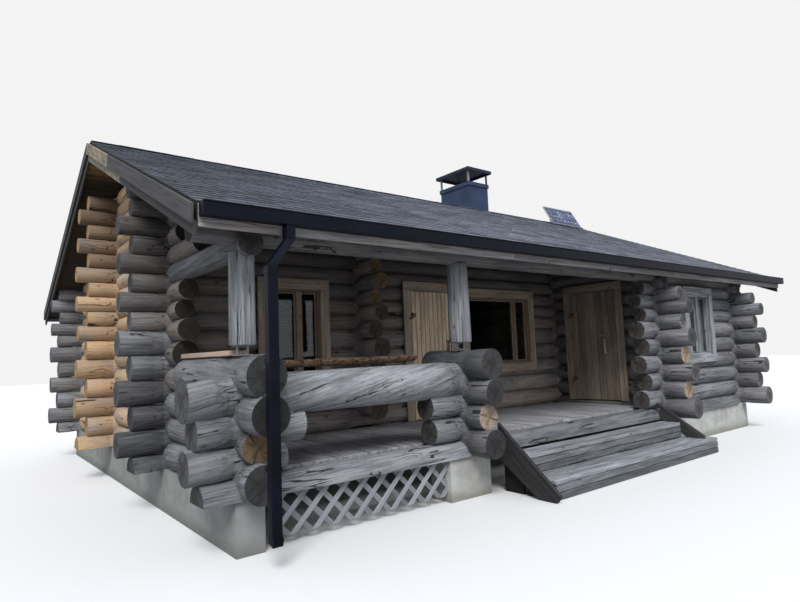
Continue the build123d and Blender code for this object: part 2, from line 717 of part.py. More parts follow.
glazing = ((window_a, window_a_z, face_living, stiles_a), (window_b, window_b_z, face_living, stiles_b),
           (window_c, window_c_z, face_front, stiles_c))
with BuildPart() as window_glass:
    for opening, heights, face, stiles in glazing:
        y = face + glass_set
        for left, right in panes(opening, stiles):
            block(left, right, y, y + glass, heights[0] + frame_bar, heights[1] - frame_bar)
window_glass.part.label = "window_glass"

# Doors: plank leaves that open outwards, on eyes that turn round upright pins
pin_r = 8
pin_play = 0.06          # gap all round a pin
eye_r = 14
eye_half = 28            # half height of an eye and its strap
pin_out = 20             # hinge line in front of the casing
pin_set = 4              # hinge line beside the edge of the opening
hinge_in = 350           # hinges below the head and above the foot of a leaf
strap_long = 70
strap_thick = 5
handle_out = 45
handle_wide = 30
handle_in = 75           # from the free edge of the leaf to the handle's middle
leaf_set = 5             # outer face of a leaf behind the face of its casing


def along_porch(a, b):
    """From the porch door's hinge line: a along the leaf, b into the wall."""
    return door_a[0] + pin_set + a, face_living - casing_out - pin_out + b


def along_room(a, b):
    """From the room door's hinge line: a along the leaf, b into the wall."""
    return face_room - casing_out - pin_out + b, door_b[1] - pin_set - a


def door_block(place, a, b, z, mode=Mode.ADD):
    """Block given from a hinge line."""
    (x0, y0), (x1, y1) = place(a[0], b[0]), place(a[1], b[1])
    block(min(x0, x1), max(x0, x1), min(y0, y1), max(y0, y1), *z, mode)


def upright(place, r, z, mode=Mode.ADD):
    """Cylinder on a hinge line."""
    with Locations((*place(0, 0), z[0])):
        Cylinder(r, z[1] - z[0], align=(Align.CENTER, Align.CENTER, Align.MIN), mode=mode)


def hinge_heights(heights):
    return heights[0] + hinge_in, heights[1] - hinge_in


def pins(place, heights):
    """Pins on the casing, each standing on a bracket."""
    for z in hinge_heights(heights):
        door_block(place, (-45, pin_r), (-pin_r, pin_out), (z - eye_half - 30, z - eye_half - 5))
        upright(place, pin_r, (z - eye_half - 5, z + eye_half + 10))


def leaf(place, opening, heights, handle_z):
    """Leaf with a strap and an eye on each pin, and an upright handle."""
    wide = opening[1] - opening[0]
    face = pin_out + leaf_set
    edge = clearance - pin_set
    door_block(place, (edge, wide - clearance - pin_set), (face, face + leaf_thick),
               (heights[0] + clearance, heights[1] - clearance))
    for z in hinge_heights(heights):
        upright(place, eye_r, (z - eye_half, z + eye_half))
        door_block(place, (edge, strap_long), (face - strap_thick, face), (z - eye_half, z + eye_half))
        door_block(place, (edge, 2 * eye_r), (0, face), (z - eye_half, z + eye_half))
        upright(place, pin_r + pin_play, (z - eye_half, z + eye_half), Mode.SUBTRACT)
    free = wide - clearance - pin_set - handle_in
    grip = (free - handle_wide / 2, free + handle_wide / 2)
    door_block(place, grip, (face - handle_out, face), handle_z)
    middle = (handle_z[0] + handle_wide, handle_z[1] - handle_wide)
    door_block(place, grip, (face - handle_out + handle_wide / 2, face), middle, Mode.SUBTRACT)


head_a = 110             # height of the casing over the opening
head_b = 120
with BuildPart() as door_casings:
    face = face_living - casing_out
    block(door_a[0] - casing, door_a[1] + casing, face, face_living, floor_top, door_a_z[1] + head_a)
    block(*door_a, face, face_living, floor_top, door_a_z[1], Mode.SUBTRACT)
    face = face_room - casing_out
    block(face, face_room, door_b[0] - casing, door_b[1] + casing, floor_top, door_b_z[1] + head_b)
    block(face, face_room, *door_b, door_b_z[0] - clearance, door_b_z[1], Mode.SUBTRACT)
    pins(along_porch, door_a_z)
    pins(along_room, door_b_z)
door_casings.part.label = "door_casings"

with BuildPart() as porch_door:
    leaf(along_porch, door_a, door_a_z, (1520, 1680))
porch_door.part.label = "porch_door"

with BuildPart() as room_door:
    leaf(along_room, door_b, door_b_z, (1480, 1700))
room_door.part.label = "room_door"

nodes = [
    plinth, back_wall, living_wall_left, living_wall_right, living_wall_over_door, room_front_wall,
    left_gable_wall, right_gable_wall, room_side_front, room_side_back, room_side_over_door, thresholds,
    gable_cross_logs, partition_log_ends, porch_sill_log, porch_rail_log, porch_rail_stubs,
    low_wall_top_log, rail_end_stack, shelf_planks, porch_posts, screw_jacks, eave_log, ridge_log, porch_deck,
    indoor_floor, roof_front_slope, roof_back_slope, barge_boards, fascias, gutter, downspout, chimney,
    chimney_hood, solar_panel, upper_step, lower_step, cheek_boards, lattice, porch_windows, window_room,
    window_glass, door_casings, porch_door, room_door,
]
for node in nodes:
    export_step(node.part, "parts/" + node.part.label + ".step")
    print(node.part.label, len(node.part.solids()), "solids", round(node.part.volume / 1e9, 4), "m3")
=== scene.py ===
# %% [markdown]
# # A round-log cabin with a porch
# This script dresses a packed model of a log cabin. The packed model is the frame: it gives the place and the
# size of every wall, board and door. Here each wall becomes a stack of real round logs, the roof gets its
# shingles, the steps and doors get their boards, and every surface gets a finish that follows the grain.

import math
import random

import bmesh
import bpy
from bmesh.types import BMEdge, BMVert
from mathutils import Matrix, Vector, noise


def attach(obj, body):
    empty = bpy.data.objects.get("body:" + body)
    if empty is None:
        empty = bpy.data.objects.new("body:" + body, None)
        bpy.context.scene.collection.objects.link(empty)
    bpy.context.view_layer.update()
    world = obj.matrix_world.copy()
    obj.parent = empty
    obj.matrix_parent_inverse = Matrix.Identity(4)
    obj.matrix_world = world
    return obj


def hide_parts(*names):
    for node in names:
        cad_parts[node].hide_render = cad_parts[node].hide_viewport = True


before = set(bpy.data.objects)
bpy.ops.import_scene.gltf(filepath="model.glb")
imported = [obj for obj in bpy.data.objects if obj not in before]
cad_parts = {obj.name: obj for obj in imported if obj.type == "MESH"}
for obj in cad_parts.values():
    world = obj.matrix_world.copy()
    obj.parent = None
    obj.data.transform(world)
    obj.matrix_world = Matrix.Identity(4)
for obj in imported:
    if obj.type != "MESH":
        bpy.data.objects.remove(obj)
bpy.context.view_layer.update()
HOUSE = "house"
rng = random.Random(11)

# %% [markdown]
# ## Sizes
# Everything hangs on a few sizes of the real cabin, in metres. X runs along the ridge, Y from the porch to the
# back and Z up from the ground. Logs along X lie in courses. Logs along Y lie half a course higher, because each
# log sits in a saddle cut over the log that it crosses.

# %% Driving sizes
X_ROOM, X_RIGHT = 6.59, 9.20  # the right room's side wall, the right gable
Y_LIVING, Y_CROSS, Y_BACK = 1.87, 4.25, 6.82  # the porch's back wall, an inner wall, the back wall
X_PARTITION, X_STACK = 2.40, 2.46  # an inner wall behind the porch, the stack at the railing's end
SILL, SILL_HALF, DECK = 0.425, 0.155, 0.58  # the lowest log's heart and radius, the porch floor
LOW, HIGH = 0.254, 0.200  # height of a course low down, and of one further up
LOW_COURSES, HIGH_COURSES = 5, 11
LONG, SHORT = 0.55, 0.43  # how far log ends stand out of a corner, by turns
RIDGE_Y, RIDGE_Z = 3.68, 4.43
FRONT_RISE, BACK_RISE = 0.43, 0.46  # rise of each slope over one level metre
ROOF_LEFT, ROOF_RIGHT, ROOF_FRONT, ROOF_BACK = -0.50, 10.40, -0.42, 7.76
ROOF_THICK = 0.18
EAVE_LOG = 2.55  # height of the log that carries the eave
RAIL_R = 0.165
WALL = LOW / 2

edges_x = [SILL, SILL + SILL_HALF]
for pitch in [LOW] * LOW_COURSES + [HIGH] * HIGH_COURSES:
    edges_x.append(edges_x[-1] + pitch)
centres_x = [SILL] + [(low + high) / 2 for low, high in zip(edges_x[1:], edges_x[2:])]


def course_x(i):
    """Centre height and half thickness of course i along X."""
    if i == 0:
        return SILL, SILL_HALF
    return (edges_x[i] + edges_x[i + 1]) / 2, (edges_x[i + 1] - edges_x[i]) / 2


def course_y(j):
    """Centre height and half thickness of course j along Y."""
    return (centres_x[j] + centres_x[j + 1]) / 2, (centres_x[j + 1] - centres_x[j]) / 2


print(len(centres_x), "courses along X, the top one at", round(centres_x[-1], 3), "m")

# %% [markdown]
# ## The camera
# The photograph was solved for its camera: a place at eye height in front of the left corner, turned a little
# towards the right and a little upwards, and held slightly askew. The lens is given in pixels of an image
# 800 wide, which is turned into millimetres on a 36 mm sensor.

# %% Camera
PHOTO_WIDE = 800
LENS_PIXELS = 571.6
CAMERA_AT = Vector((-1.869, -4.472, 1.505))
YAW, PITCH, ROLL = 0.667, 0.093, 0.039

ahead = Vector((math.sin(YAW) * math.cos(PITCH), math.cos(YAW) * math.cos(PITCH), math.sin(PITCH)))
level = Vector((math.cos(YAW), -math.sin(YAW), 0))
upward = level.cross(ahead)
side = level * math.cos(ROLL) - upward * math.sin(ROLL)
top = level * math.sin(ROLL) + upward * math.cos(ROLL)

camera = bpy.data.objects.new("camera", bpy.data.cameras.new("camera"))
bpy.context.scene.collection.objects.link(camera)
camera.data.sensor_width = 36
camera.data.lens = camera.data.sensor_width * LENS_PIXELS / PHOTO_WIDE
camera.matrix_world = Matrix((side, top, -ahead)).transposed().to_4x4()
camera.location = CAMERA_AT
bpy.context.scene.camera = camera
print("lens", round(camera.data.lens, 2), "mm")

# %% [markdown]
# ## Making meshes
# Each piece is gathered in one bmesh from small parts: logs, boards and blocks. A part is shaped in its own
# coordinates, with its length along X. Those coordinates are kept on its vertices as the attribute `grain`, so
# the wood's fibres run along every log and board whichever way it lies, and the year rings are centred on the
# heart of the log. A second attribute, `tone`, gives each part its own shade.

# %% Pieces and places


def new_piece():
    """An empty mesh with the two attributes."""
    bm = bmesh.new()
    bm.verts.layers.float_vector.new("grain")
    bm.verts.layers.float_color.new("tone")
    return bm


def lay(centre, along, across):
    """Matrix that puts a part's own X along `along`, its Y along `across`, and its middle at `centre`."""
    x = Vector(along).normalized()
    z = x.cross(Vector(across)).normalized()
    turn = Matrix((x, z.cross(x), z)).transposed().to_4x4()
    return Matrix.Translation(Vector(centre)) @ turn


def only(geom, kind):
    """The vertices or the edges among what an operator hands back."""
    return [g for g in geom if isinstance(g, kind)]


def add_cube(target, place, size):
    """A plain block of a given size; place is a matrix."""
    return bmesh.ops.create_cube(target, size=1, matrix=place @ Matrix.Diagonal((*size, 1)))["verts"]


print("a part laid along Y turns by", round(math.degrees(lay((0, 0, 0), (0, 1, 0), (-1, 0, 0)).to_euler().z)))

# %% [markdown]
# A bmesh can't be added to another one directly, so a part goes through a mesh that is thrown away afterwards.
# The attributes travel with it. They could also be set on the finished object, but there the parts are no
# longer apart, so each part is marked while it is still alone.

# %% Joining parts


def mark(part, tone, seed, off_heart=(0, 0)):
    """Writes the attributes of a part that still lies along X."""
    grain = part.verts.layers.float_vector["grain"]
    shade = part.verts.layers.float_color["tone"]
    for v in part.verts:
        v[grain] = (v.co.x + seed, v.co.y + off_heart[0], v.co.z + off_heart[1])
        v[shade] = (*tone, seed % 1, 1)


def add_to(target, part):
    """Copies a part into the piece."""
    mesh = bpy.data.meshes.new("part")
    part.to_mesh(mesh)
    part.free()
    target.from_mesh(mesh)
    bpy.data.meshes.remove(mesh)


def settle(part, target, tone, seed, off_heart=(0, 0), place=None):
    """Marks a finished part, moves it to its place and adds it to the piece."""
    mark(part, tone, seed, off_heart)
    if place is not None:
        bmesh.ops.transform(part, matrix=place, verts=part.verts)
    add_to(target, part)


def finish_piece(bm, name, materials, body=HOUSE, nodes=()):
    """Turns the bmesh into an object of the scene, on its body."""
    mesh = bpy.data.meshes.new(name)
    bm.to_mesh(mesh)
    bm.free()
    for material in materials:
        mesh.materials.append(material)
    piece = bpy.data.objects.new(name, mesh)
    bpy.context.scene.collection.objects.link(piece)
    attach(piece, body)
    if nodes:
        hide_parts(*nodes)
    print(name, len(mesh.polygons), "faces")
    return piece


print("pieces ride on", HOUSE, "unless they name another body")

# %% [markdown]
# ## A log
# Logs taper, and no log is quite round. Where a log crosses another, its maker hews it to a narrower neck with
# sloping shoulders, which is what gives the corners of such a cabin their faceted look. So a log is planned as
# a row of rings first: where each ring is, and how far it is from neck (0) to full width (1).

# %% Rings along a log
SHOULDER = 0.12
NECK_REACH = 0.85  # half length of the neck, as a share of the crossing log's radius
STATION = 0.42
SAWN_ROUND = 0.006
END_FREE = 0.02


def stations(start, end, crossings, r):
    """Places along a log where it gets a ring of points, with the width of each ring."""
    neck = NECK_REACH * r
    rings = {start: 1.0, end: 1.0, start + SAWN_ROUND: 1.0, end - SAWN_ROUND: 1.0}
    for c in crossings:
        for at, wide in ((c - r - SHOULDER, 1), (c - neck, 0), (c + neck, 0), (c + r + SHOULDER, 1)):
            if start + END_FREE < at < end - END_FREE:
                rings[at] = wide
    for c in crossings:
        for at in rings:
            if abs(at - c) <= neck + 0.001:
                rings[at] = 0
    marks = sorted(rings)
    for low, high in zip(marks, marks[1:]):
        extra = int((high - low) / STATION)
        for k in range(1, extra + 1):
            at = low + (high - low) * k / (extra + 1)
            rings[at] = rings[low] + (rings[high] - rings[low]) * k / (extra + 1)
    return [(at, rings[at]) for at in sorted(rings)]


print("rings of a log with one crossing:", [(round(at, 2), wide) for at, wide in stations(0, 1, [0.3], 0.12)])

# %% [markdown]
# The log itself could be a cylinder that is cut and scaled, but a ring that is extruded from station to station
# keeps clean rows of faces. Each ring gets its radius and a little noise. The edges of the hewn faces stay
# sharp, and the ends are filled and get the second material, the sawn face.

# %% Log
SIDES = 22
NECK_WIDE, NECK_HIGH = 0.72, 0.92
LUMPS_ALONG, LUMPS_AROUND = 1.1, 1.3


def log_mesh(start, end, r_start, r_end, crossings=(), seed=0.0, rough=0.022):
    """A log along X from start to end, with its heart on the X axis."""
    part = new_piece()
    bmesh.ops.create_circle(part, segments=SIDES, radius=1)
    bmesh.ops.rotate(part, verts=part.verts, matrix=Matrix.Rotation(math.pi / 2, 3, "Y"))
    unit = [v.co.copy() for v in part.verts]
    ring, loop = list(part.verts), list(part.edges)
    first = loop
    plan = stations(start, end, crossings, max(r_start, r_end))
    tips = (0, len(plan) - 1)
    for k, (at, wide) in enumerate(plan):
        if k:
            grown = bmesh.ops.extrude_edge_only(part, edges=loop)["geom"]
            loop, fresh = only(grown, BMEdge), only(grown, BMVert)
            places = [v.co.copy() for v in ring]
            ring = [min(fresh, key=lambda v, old=old: (v.co - old).length) for old in places]
        r = r_start + (r_end - r_start) * (at - start) / (end - start)
        if k in tips:
            r -= SAWN_ROUND * 0.7
        y_share = NECK_WIDE + (1 - NECK_WIDE) * wide
        z_share = NECK_HIGH + (1 - NECK_HIGH) * wide
        for v, point in zip(ring, unit):
            lump = Vector((at * LUMPS_ALONG + seed * 7, point.y * LUMPS_AROUND, point.z * LUMPS_AROUND))
            bump = 1 + rough * noise.noise(lump)
            v.co = (at, point.y * r * bump * y_share, point.z * r * bump * z_share)
        if wide in (0, 1) and k not in tips and abs(wide - plan[k - 1][1]) > 0.01:
            for edge in loop:
                edge.smooth = False
    for face in part.faces:
        face.smooth = True
    for rim in (first, loop):
        for face in bmesh.ops.edgeloop_fill(part, edges=rim)["faces"]:
            face.material_index = 1
        for edge in rim:
            edge.smooth = False
    bmesh.ops.recalc_face_normals(part, faces=part.faces)
    return part


test = log_mesh(0, 1, 0.12, 0.11, [0.3])
print("a one metre log has", len(test.faces), "faces")
test.free()

# %% [markdown]
# The roof and the openings cut through logs. `bisect_plane` is the saw: it throws away what lies beyond a plane,
# and the open rim that it leaves is filled. The sun and the rain bleach a long log more at one place than at
# another, so a shade can also change along the log.

# %% Saw and shades


def saw(part, point, normal):
    """Saws off what lies beyond a plane and closes the cut."""
    geom = part.verts[:] + part.edges[:] + part.faces[:]
    cut = bmesh.ops.bisect_plane(part, geom=geom, dist=1e-5, plane_co=point, plane_no=normal, clear_outer=True)
    rim = only(cut["geom_cut"], BMEdge)
    if rim:
        for face in bmesh.ops.edgeloop_fill(part, edges=rim)["faces"]:
            face.material_index = 1
            face.smooth = False
        for edge in rim:
            edge.smooth = False


def shade_at(shades, at):
    """Shade at a place along a log, between the places that are given."""
    for (low, a), (high, b) in zip(shades, shades[1:]):
        if at <= high:
            share = min(1, max(0, (at - low) / (high - low)))
            return a + (b - a) * share
    return shades[-1][1]


print("halfway between the shades 0.2 and 0.4:", round(shade_at(((0, 0.2), (1, 0.4)), 0.5), 3))

# %% [markdown]
# A log grew with a twist, so its cracks wind round it. The grain is turned more and more along the log before it
# is stored. Each log draws its own taper, shade, warmth, twist and the colour of its ends from one seeded row of
# random numbers, so the cabin comes out the same on each run.

# %% A log in its place


def add_log(target, axis, u, z, r, start, end, crossings=(), tone=(0.5, 0.2), cuts=(), r_end=None, faces=None,
            shades=(), twist=None):
    """Adds a log along X or Y, at u across and z up, sawn by the planes in cuts."""
    seed = rng.uniform(0, 40)
    taper = rng.uniform(-0.03, 0.03)
    near, far = r * (1 + taper), (r_end or r) * (1 - taper)
    part = log_mesh(start, end, near, far, crossings, seed)
    vary = rng.uniform(0.78, 1.22)
    spiral = rng.uniform(-0.35, 0.35) if twist is None else twist
    warm = tone[1] + rng.uniform(-0.08, 0.08)
    faces = faces or (tone[0] * rng.uniform(0.45, 0.8), rng.uniform(0.0, 0.4))
    across = (0, 1, 0) if axis == "x" else (-1, 0, 0)
    along = (1, 0, 0) if axis == "x" else (0, 1, 0)
    middle = (0, u, z) if axis == "x" else (u, 0, z)
    grain = part.verts.layers.float_vector["grain"]
    colour = part.verts.layers.float_color["tone"]
    for v in part.verts:
        turned = Matrix.Rotation(spiral * (v.co.x - start), 3, "X") @ v.co
        v[grain] = (v.co.x + seed, turned.y, turned.z)
        at_end = min(v.co.x - start, end - v.co.x) < SAWN_ROUND / 2
        shade = shade_at(shades, v.co.x) if shades else tone[0] * vary
        v[colour] = (*(faces if at_end else (shade, warm)), seed % 1, 1)
    bmesh.ops.transform(part, matrix=lay(middle, along, across), verts=part.verts)
    for point, normal in cuts:
        saw(part, point, normal)
    add_to(target, part)


print("a log has", SIDES, "sides, and a ring at least each", STATION, "m")

# %% [markdown]
# ## Walls of logs
# A wall is a list of courses. A course that meets a door or a window is sawn there: it is laid in shorter logs,
# and where the opening's edge runs through a log, that log is sawn along. The same is done at the roof, whose
# two slopes cut the logs of the gables.

# %% Courses with openings
SNUG = 1.035  # a log presses into the next one, so it is a little thicker than its course
BITE = 0.012  # an edge of an opening that takes less than this from a log leaves it whole
ROOF_CUTS = (
    ((0, RIDGE_Y, RIDGE_Z - ROOF_THICK), (0, -FRONT_RISE, 1)),
    ((0, RIDGE_Y, RIDGE_Z - ROOF_THICK), (0, BACK_RISE, 1)),
)


def add_course(target, axis, u, z, r, start, end, crossings, tone, openings=(), cuts=(), faces=None):
    """A log of a wall, interrupted by the openings (from, to, bottom, top)."""
    spans = [(start, end, list(cuts))]
    for low, high, bottom, top_edge in openings:
        if top_edge <= z - r + 0.004 or bottom >= z + r - 0.004:
            continue
        shorter = []
        for a, b, planes in spans:
            if high <= a or low >= b:
                shorter.append((a, b, planes))
                continue
            if low - a > 0.01:
                shorter.append((a, low, planes))
            if b - high > 0.01:
                shorter.append((high, b, planes))
            if z + r > top_edge + BITE:
                shorter.append((max(a, low), min(b, high), planes + [((0, 0, top_edge), (0, 0, -1))]))
            if z - r < bottom - BITE:
                shorter.append((max(a, low), min(b, high), planes + [((0, 0, bottom), (0, 0, 1))]))
        spans = shorter
    for a, b, planes in spans:
        near = [c for c in crossings if a - 0.3 < c < b + 0.3]
        add_log(target, axis, u, z, r * SNUG, a, b, near, tone, planes, faces=faces)


def overhang(i, long_first=0):
    """How far course i stands out of a corner: long and short ends take turns."""
    return (LONG if i % 2 != long_first else SHORT) + rng.uniform(-0.018, 0.012)


HALF_CUT = [((0, 0, SILL), (0, 0, -1))]
print("the roof cuts the gables in", len(ROOF_CUTS), "planes")

# %% [markdown]
# The walls along X are the back, the porch's back wall, the right room's front and the inner wall whose honey
# coloured ends show on the left gable. The openings are named here once, because the casings, doors and glass
# use them again. The porch's back wall is darker where the roof shades it, so its shade depends on the height.

# %% Walls along X
GREY, BROWN, SHADED, HONEY = (0.32, 0.05), (0.36, 0.45), (0.22, 0.35), (0.62, 1.00)
# DARK_END is painted shade: nearly black ends on the left gable and on the eave log.
DARK_END = (0.025, 0.7)
# Each opening is: from, to, bottom, top.
PORCH_WINDOWS = ((1.00, 1.79, 1.25, 2.39), (4.29, 5.79, 1.25, 2.39))
ROOM_WINDOW = (7.35, 8.18, 1.27, 2.33)
PORCH_DOOR, ROOM_DOOR = (3.20, 3.945, 0.58, 2.395), (0.565, 1.395, 0.64, 2.41)
CLEAR = 0.008  # the gap round a door leaf, and the wall's cut under a doorway


def doorway(door):
    """The hole that the logs leave for a door."""
    return (door[0], door[1], door[2] - CLEAR, door[3])


def wall_x(bm, y, courses, left, right, crossings, tone, openings=(), stagger=(True, True), long_first=0, faces=None):
    """The courses of a wall along X, from left to right."""
    for i in courses:
        z, r = course_x(i)
        reach = overhang(i, long_first)
        start = left - (reach if stagger[0] else 0)
        end = right + (reach if stagger[1] else 0)
        add_course(bm, "x", y, z, r, start, end, crossings, tone, openings, HALF_CUT if i == 0 else (), faces)


back = new_piece()
wall_x(back, Y_BACK, range(11), 0, X_RIGHT, [0, X_RIGHT], GREY)

living = new_piece()
# END_SHADES paint shade on the logs that stand out of the left gable: dark low down, darkest under the eave.
END_SHADES = ((0.4, 0.15), (1.25, 0.16), (1.5, 0.30), (1.85, 0.34), (2.15, 0.22), (2.7, 0.14))
TOP_LIVING = 13
for i in range(TOP_LIVING + 1):
    z, r = course_x(i)
    cuts = HALF_CUT if i == 0 else ()
    start = -overhang(i) if i < TOP_LIVING else -0.45
    tone = (shade_at(END_SHADES, z), 0.05 if z < 1.9 else 0.35)
    add_log(living, "x", Y_LIVING, z, r * SNUG, start, WALL, [0], tone, cuts)
    tone = (BROWN[0] - 0.14 * (z - 1.6), BROWN[1])
    add_course(living, "x", Y_LIVING, z, r, WALL, X_ROOM + WALL, [0, X_PARTITION, X_ROOM], tone,
               [*PORCH_WINDOWS, doorway(PORCH_DOOR)], cuts)

front = new_piece()
corners = [X_ROOM, X_RIGHT]
wall_x(front, 0, range(1, 9), X_ROOM, X_RIGHT, corners, (0.30, 0.03), [ROOM_WINDOW], faces=(0.12, 0.5))
add_course(front, "x", 0, SILL, SILL_HALF, X_ROOM - 0.06, X_RIGHT + LONG, corners, (0.26, 0.0), (), HALF_CUT)

cross = new_piece()
# CROSS_SHADES paint shade on the honey coloured ends: darker towards the eave.
CROSS_SHADES = ((0.5, 0.60), (2.2, 0.66), (2.9, 0.36), (3.6, 0.18))
for i in range(16):
    shade = shade_at(CROSS_SHADES, course_x(i)[0])
    wall_x(cross, Y_CROSS, [i], 0, WALL, [0], (shade, 1.0), (), (True, False), 1, (0.4, 0.9))
print("walls along X:", [len(b.faces) for b in (back, living, front, cross)], "faces")

# %% [markdown]
# The gables lie along Y. On the left gable the logs over the low wall stop in front of the porch's back wall,
# except one, which runs forward over the porch and carries the eave log. The lowest three form the low wall of
# the porch, and each of them was measured by itself. The left gable is laid in two lengths, because its front
# part is grey and its back part, behind the honey coloured ends, is honey coloured too.

# %% Gables
FORWARD = 8
CORNER_ENDS = {0: (-0.36, 0.150), 1: (-0.27, 0.128), 2: (-0.52, 0.150)}  # start and radius
LEFT_FACES = {0: (0.055, 0.2), 1: (0.16, 0.75), 2: (0.025, 0.1), FORWARD: (0.10, 0.3)}
UNDER_EAVE = edges_x[9]
NEAR_ROOF = 2.3
left_gable, right_gable = new_piece(), new_piece()
for j in range(len(centres_x) - 1):
    z, r = course_y(j)
    in_turn = SHORT if j % 2 else LONG
    back_end = Y_BACK + in_turn + rng.uniform(-0.015, 0.01) if z < edges_x[11] else Y_BACK + WALL
    if j in CORNER_ENDS:
        start, near_r = CORNER_ENDS[j]
    elif j == FORWARD:
        start, near_r = -0.2, r * 1.05
    elif j < FORWARD:
        start, near_r = Y_LIVING - (LONG if j % 2 else SHORT) + rng.uniform(-0.02, 0.02), r
    else:
        start, near_r = 0.9 if j == FORWARD + 1 else Y_LIVING - SHORT, r
    # The left gable's logs get a darker grey than the other walls, and their ends are dark, most of them nearly
    # black: painted shade.
    tone = (0.26, 0.05 if j in LEFT_FACES else 0.40)
    faces = LEFT_FACES.get(j, DARK_END)
    cuts = list(ROOF_CUTS) if z > NEAR_ROOF else []
    middle = (Y_LIVING + Y_CROSS) / 2
    add_log(left_gable, "y", 0, z, near_r * SNUG, start, middle, [0, Y_LIVING], tone, cuts, r * SNUG, faces)
    add_log(left_gable, "y", 0, z, r * SNUG, middle, back_end, [Y_CROSS, Y_BACK], HONEY, cuts, None, (0.3, 0.4))
    start = -in_turn if z < UNDER_EAVE else -0.2
    add_log(right_gable, "y", X_RIGHT, z, r * SNUG, start, back_end, [0, Y_BACK], GREY, cuts)
print("gables:", [len(b.faces) for b in (left_gable, right_gable)], "faces")

# %% [markdown]
# The side of the right room closes the porch on its right, with the room's door in it. Its logs are laid in two
# lengths, because their front ends stand out in the rain and are greyer. A few of those ends were sawn later
# than the others and are still pale. Of the inner wall behind the porch only the log ends show.

# %% Side wall and inner wall
room_side, partition = new_piece(), new_piece()
SIDE_FACES = {1: (0.55, 0.65), 3: (0.55, 0.65), 5: (0.36, 0.35)}
FRESH_ENDS = (2, 7, 8, 9)
OVER_DECK = ((0, 0, DECK), (0, 0, -1))
for j in range(14):
    z, r = course_y(j)
    in_turn = SHORT if j % 2 else LONG
    start = -in_turn if z < UNDER_EAVE else -0.2
    cuts = list(ROOF_CUTS) if z > NEAR_ROOF else []
    faces = SIDE_FACES.get(j, (rng.uniform(0.10, 0.18), 0.25))
    add_course(room_side, "y", X_ROOM, z, r, start, 0.40, [0], (0.28, 0.12), (), cuts, faces)
    add_course(room_side, "y", X_ROOM, z, r, 0.40, Y_LIVING + WALL, [Y_LIVING], SHADED, [doorway(ROOM_DOOR)], cuts)
    if 1 <= j < 13:
        start = Y_LIVING - in_turn + rng.uniform(-0.02, 0.02)
        faces = (0.20, 0.75) if j in FRESH_ENDS else (0.09, 0.6)
        add_log(partition, "y", X_PARTITION, z, r * SNUG, start, Y_LIVING + WALL, [Y_LIVING], BROWN,
                [OVER_DECK] + cuts, None, faces)
print("side and inner wall:", [len(b.faces) for b in (room_side, partition)], "faces")

# %% [markdown]
# ## Railing, posts and beams
# The railing is one thick log. At its left end it is notched over the low wall, with two shorter logs below it,
# and at its right end it lies on a stack of short logs. The rain falls on these logs from all sides, so they are
# the palest ones, and the railing shows a strong twist.

# %% Railing
railing = new_piece()
rail_z = edges_x[3] + RAIL_R
TOP_R, STACK_R = 0.165, 0.155
low_top_z, stack_top_z = centres_x[3] + TOP_R, centres_x[3] + STACK_R
LIGHT = (0.50, 0.0)
# RAIL_SHADES and SILL_SHADES paint shade on the left ends of the railing and the sill log. The sill log is also
# darker from the steps on.
RAIL_SHADES = ((-0.5, 0.28), (0.2, 0.30), (0.55, 0.50), (1.4, 0.46), (2.0, 0.39), (2.4, 0.34))
SILL_SHADES = ((-0.4, 0.28), (0.2, 0.28), (0.5, 0.42), (2.3, 0.42), (2.75, 0.22), (6.5, 0.24))
RAIL_FACE = (0.12, 0.1)
add_log(railing, "x", 0, rail_z - 0.036, 0.177, -0.49, X_STACK + 0.15, [0, X_STACK], LIGHT, (), 0.187, RAIL_FACE,
        RAIL_SHADES, 1.5)
for i, left_end, left, right, thick in ((1, -0.48, 0.33, 1.96, 1.06), (2, -0.42, 0.50, 1.92, 1.14)):
    z, r = course_x(i)
    add_log(railing, "x", 0, z, r * thick, left_end, left, [0], LIGHT, (), None, RAIL_FACE, RAIL_SHADES, 0.6)
    add_log(railing, "x", 0, z, r * SNUG, right, X_STACK + 0.17, [X_STACK], (0.34, 0.0), (), None, (0.09, 0.2))
add_log(railing, "x", 0, SILL, SILL_HALF, -0.38, X_ROOM - WALL, [], LIGHT, HALF_CUT, None, (0.10, 0.2), SILL_SHADES)
STACK = ((0, 0.44, 0.155, (0.05, 0.0)), (1, 0.36, 0.30, (0.50, 0.62)), (2, 0.47, 0.32, (0.055, 0.0)))
for j, outside, inside, faces in STACK:
    z, r = course_y(j)
    add_log(railing, "y", X_STACK, z, r * SNUG, -outside, inside, [0], (0.24, 0.10), (), None, faces)
add_log(railing, "y", X_STACK, stack_top_z, 0.16, -0.45, 0.48, [0], (0.17, 0.0), (), None, (0.07, 0.0))
add_log(railing, "y", 0, low_top_z, 0.168, -0.46, Y_LIVING - LONG, [0], (0.28, 0.08), (), None, (0.06, 0.0))
print("railing", len(railing.faces), "faces")

# %% [markdown]
# Upright posts don't shrink in length as a log wall does in height, so each stands on a screw jack that is
# turned down over the years. The jacks are the frame's own pieces, and here they only set where a post begins.

# %% Posts and beams
posts = new_piece()
JACK = 0.085
POST_TONE = (0.44, 0.02)


def add_post(x, bottom, top_z, r_low, r_high):
    """An upright round log, sawn at both ends."""
    seed = rng.uniform(0, 40)
    part = log_mesh(bottom, top_z, r_low, r_high, (), seed)
    settle(part, posts, POST_TONE, seed, place=lay((x, 0, 0), (0, 0, 1), (0, 1, 0)))


add_post(0, low_top_z + TOP_R + JACK, course_y(FORWARD)[0] - 0.06, 0.108, 0.106)
add_post(X_STACK, stack_top_z + STACK_R + JACK, EAVE_LOG - 0.09, 0.122, 0.108)

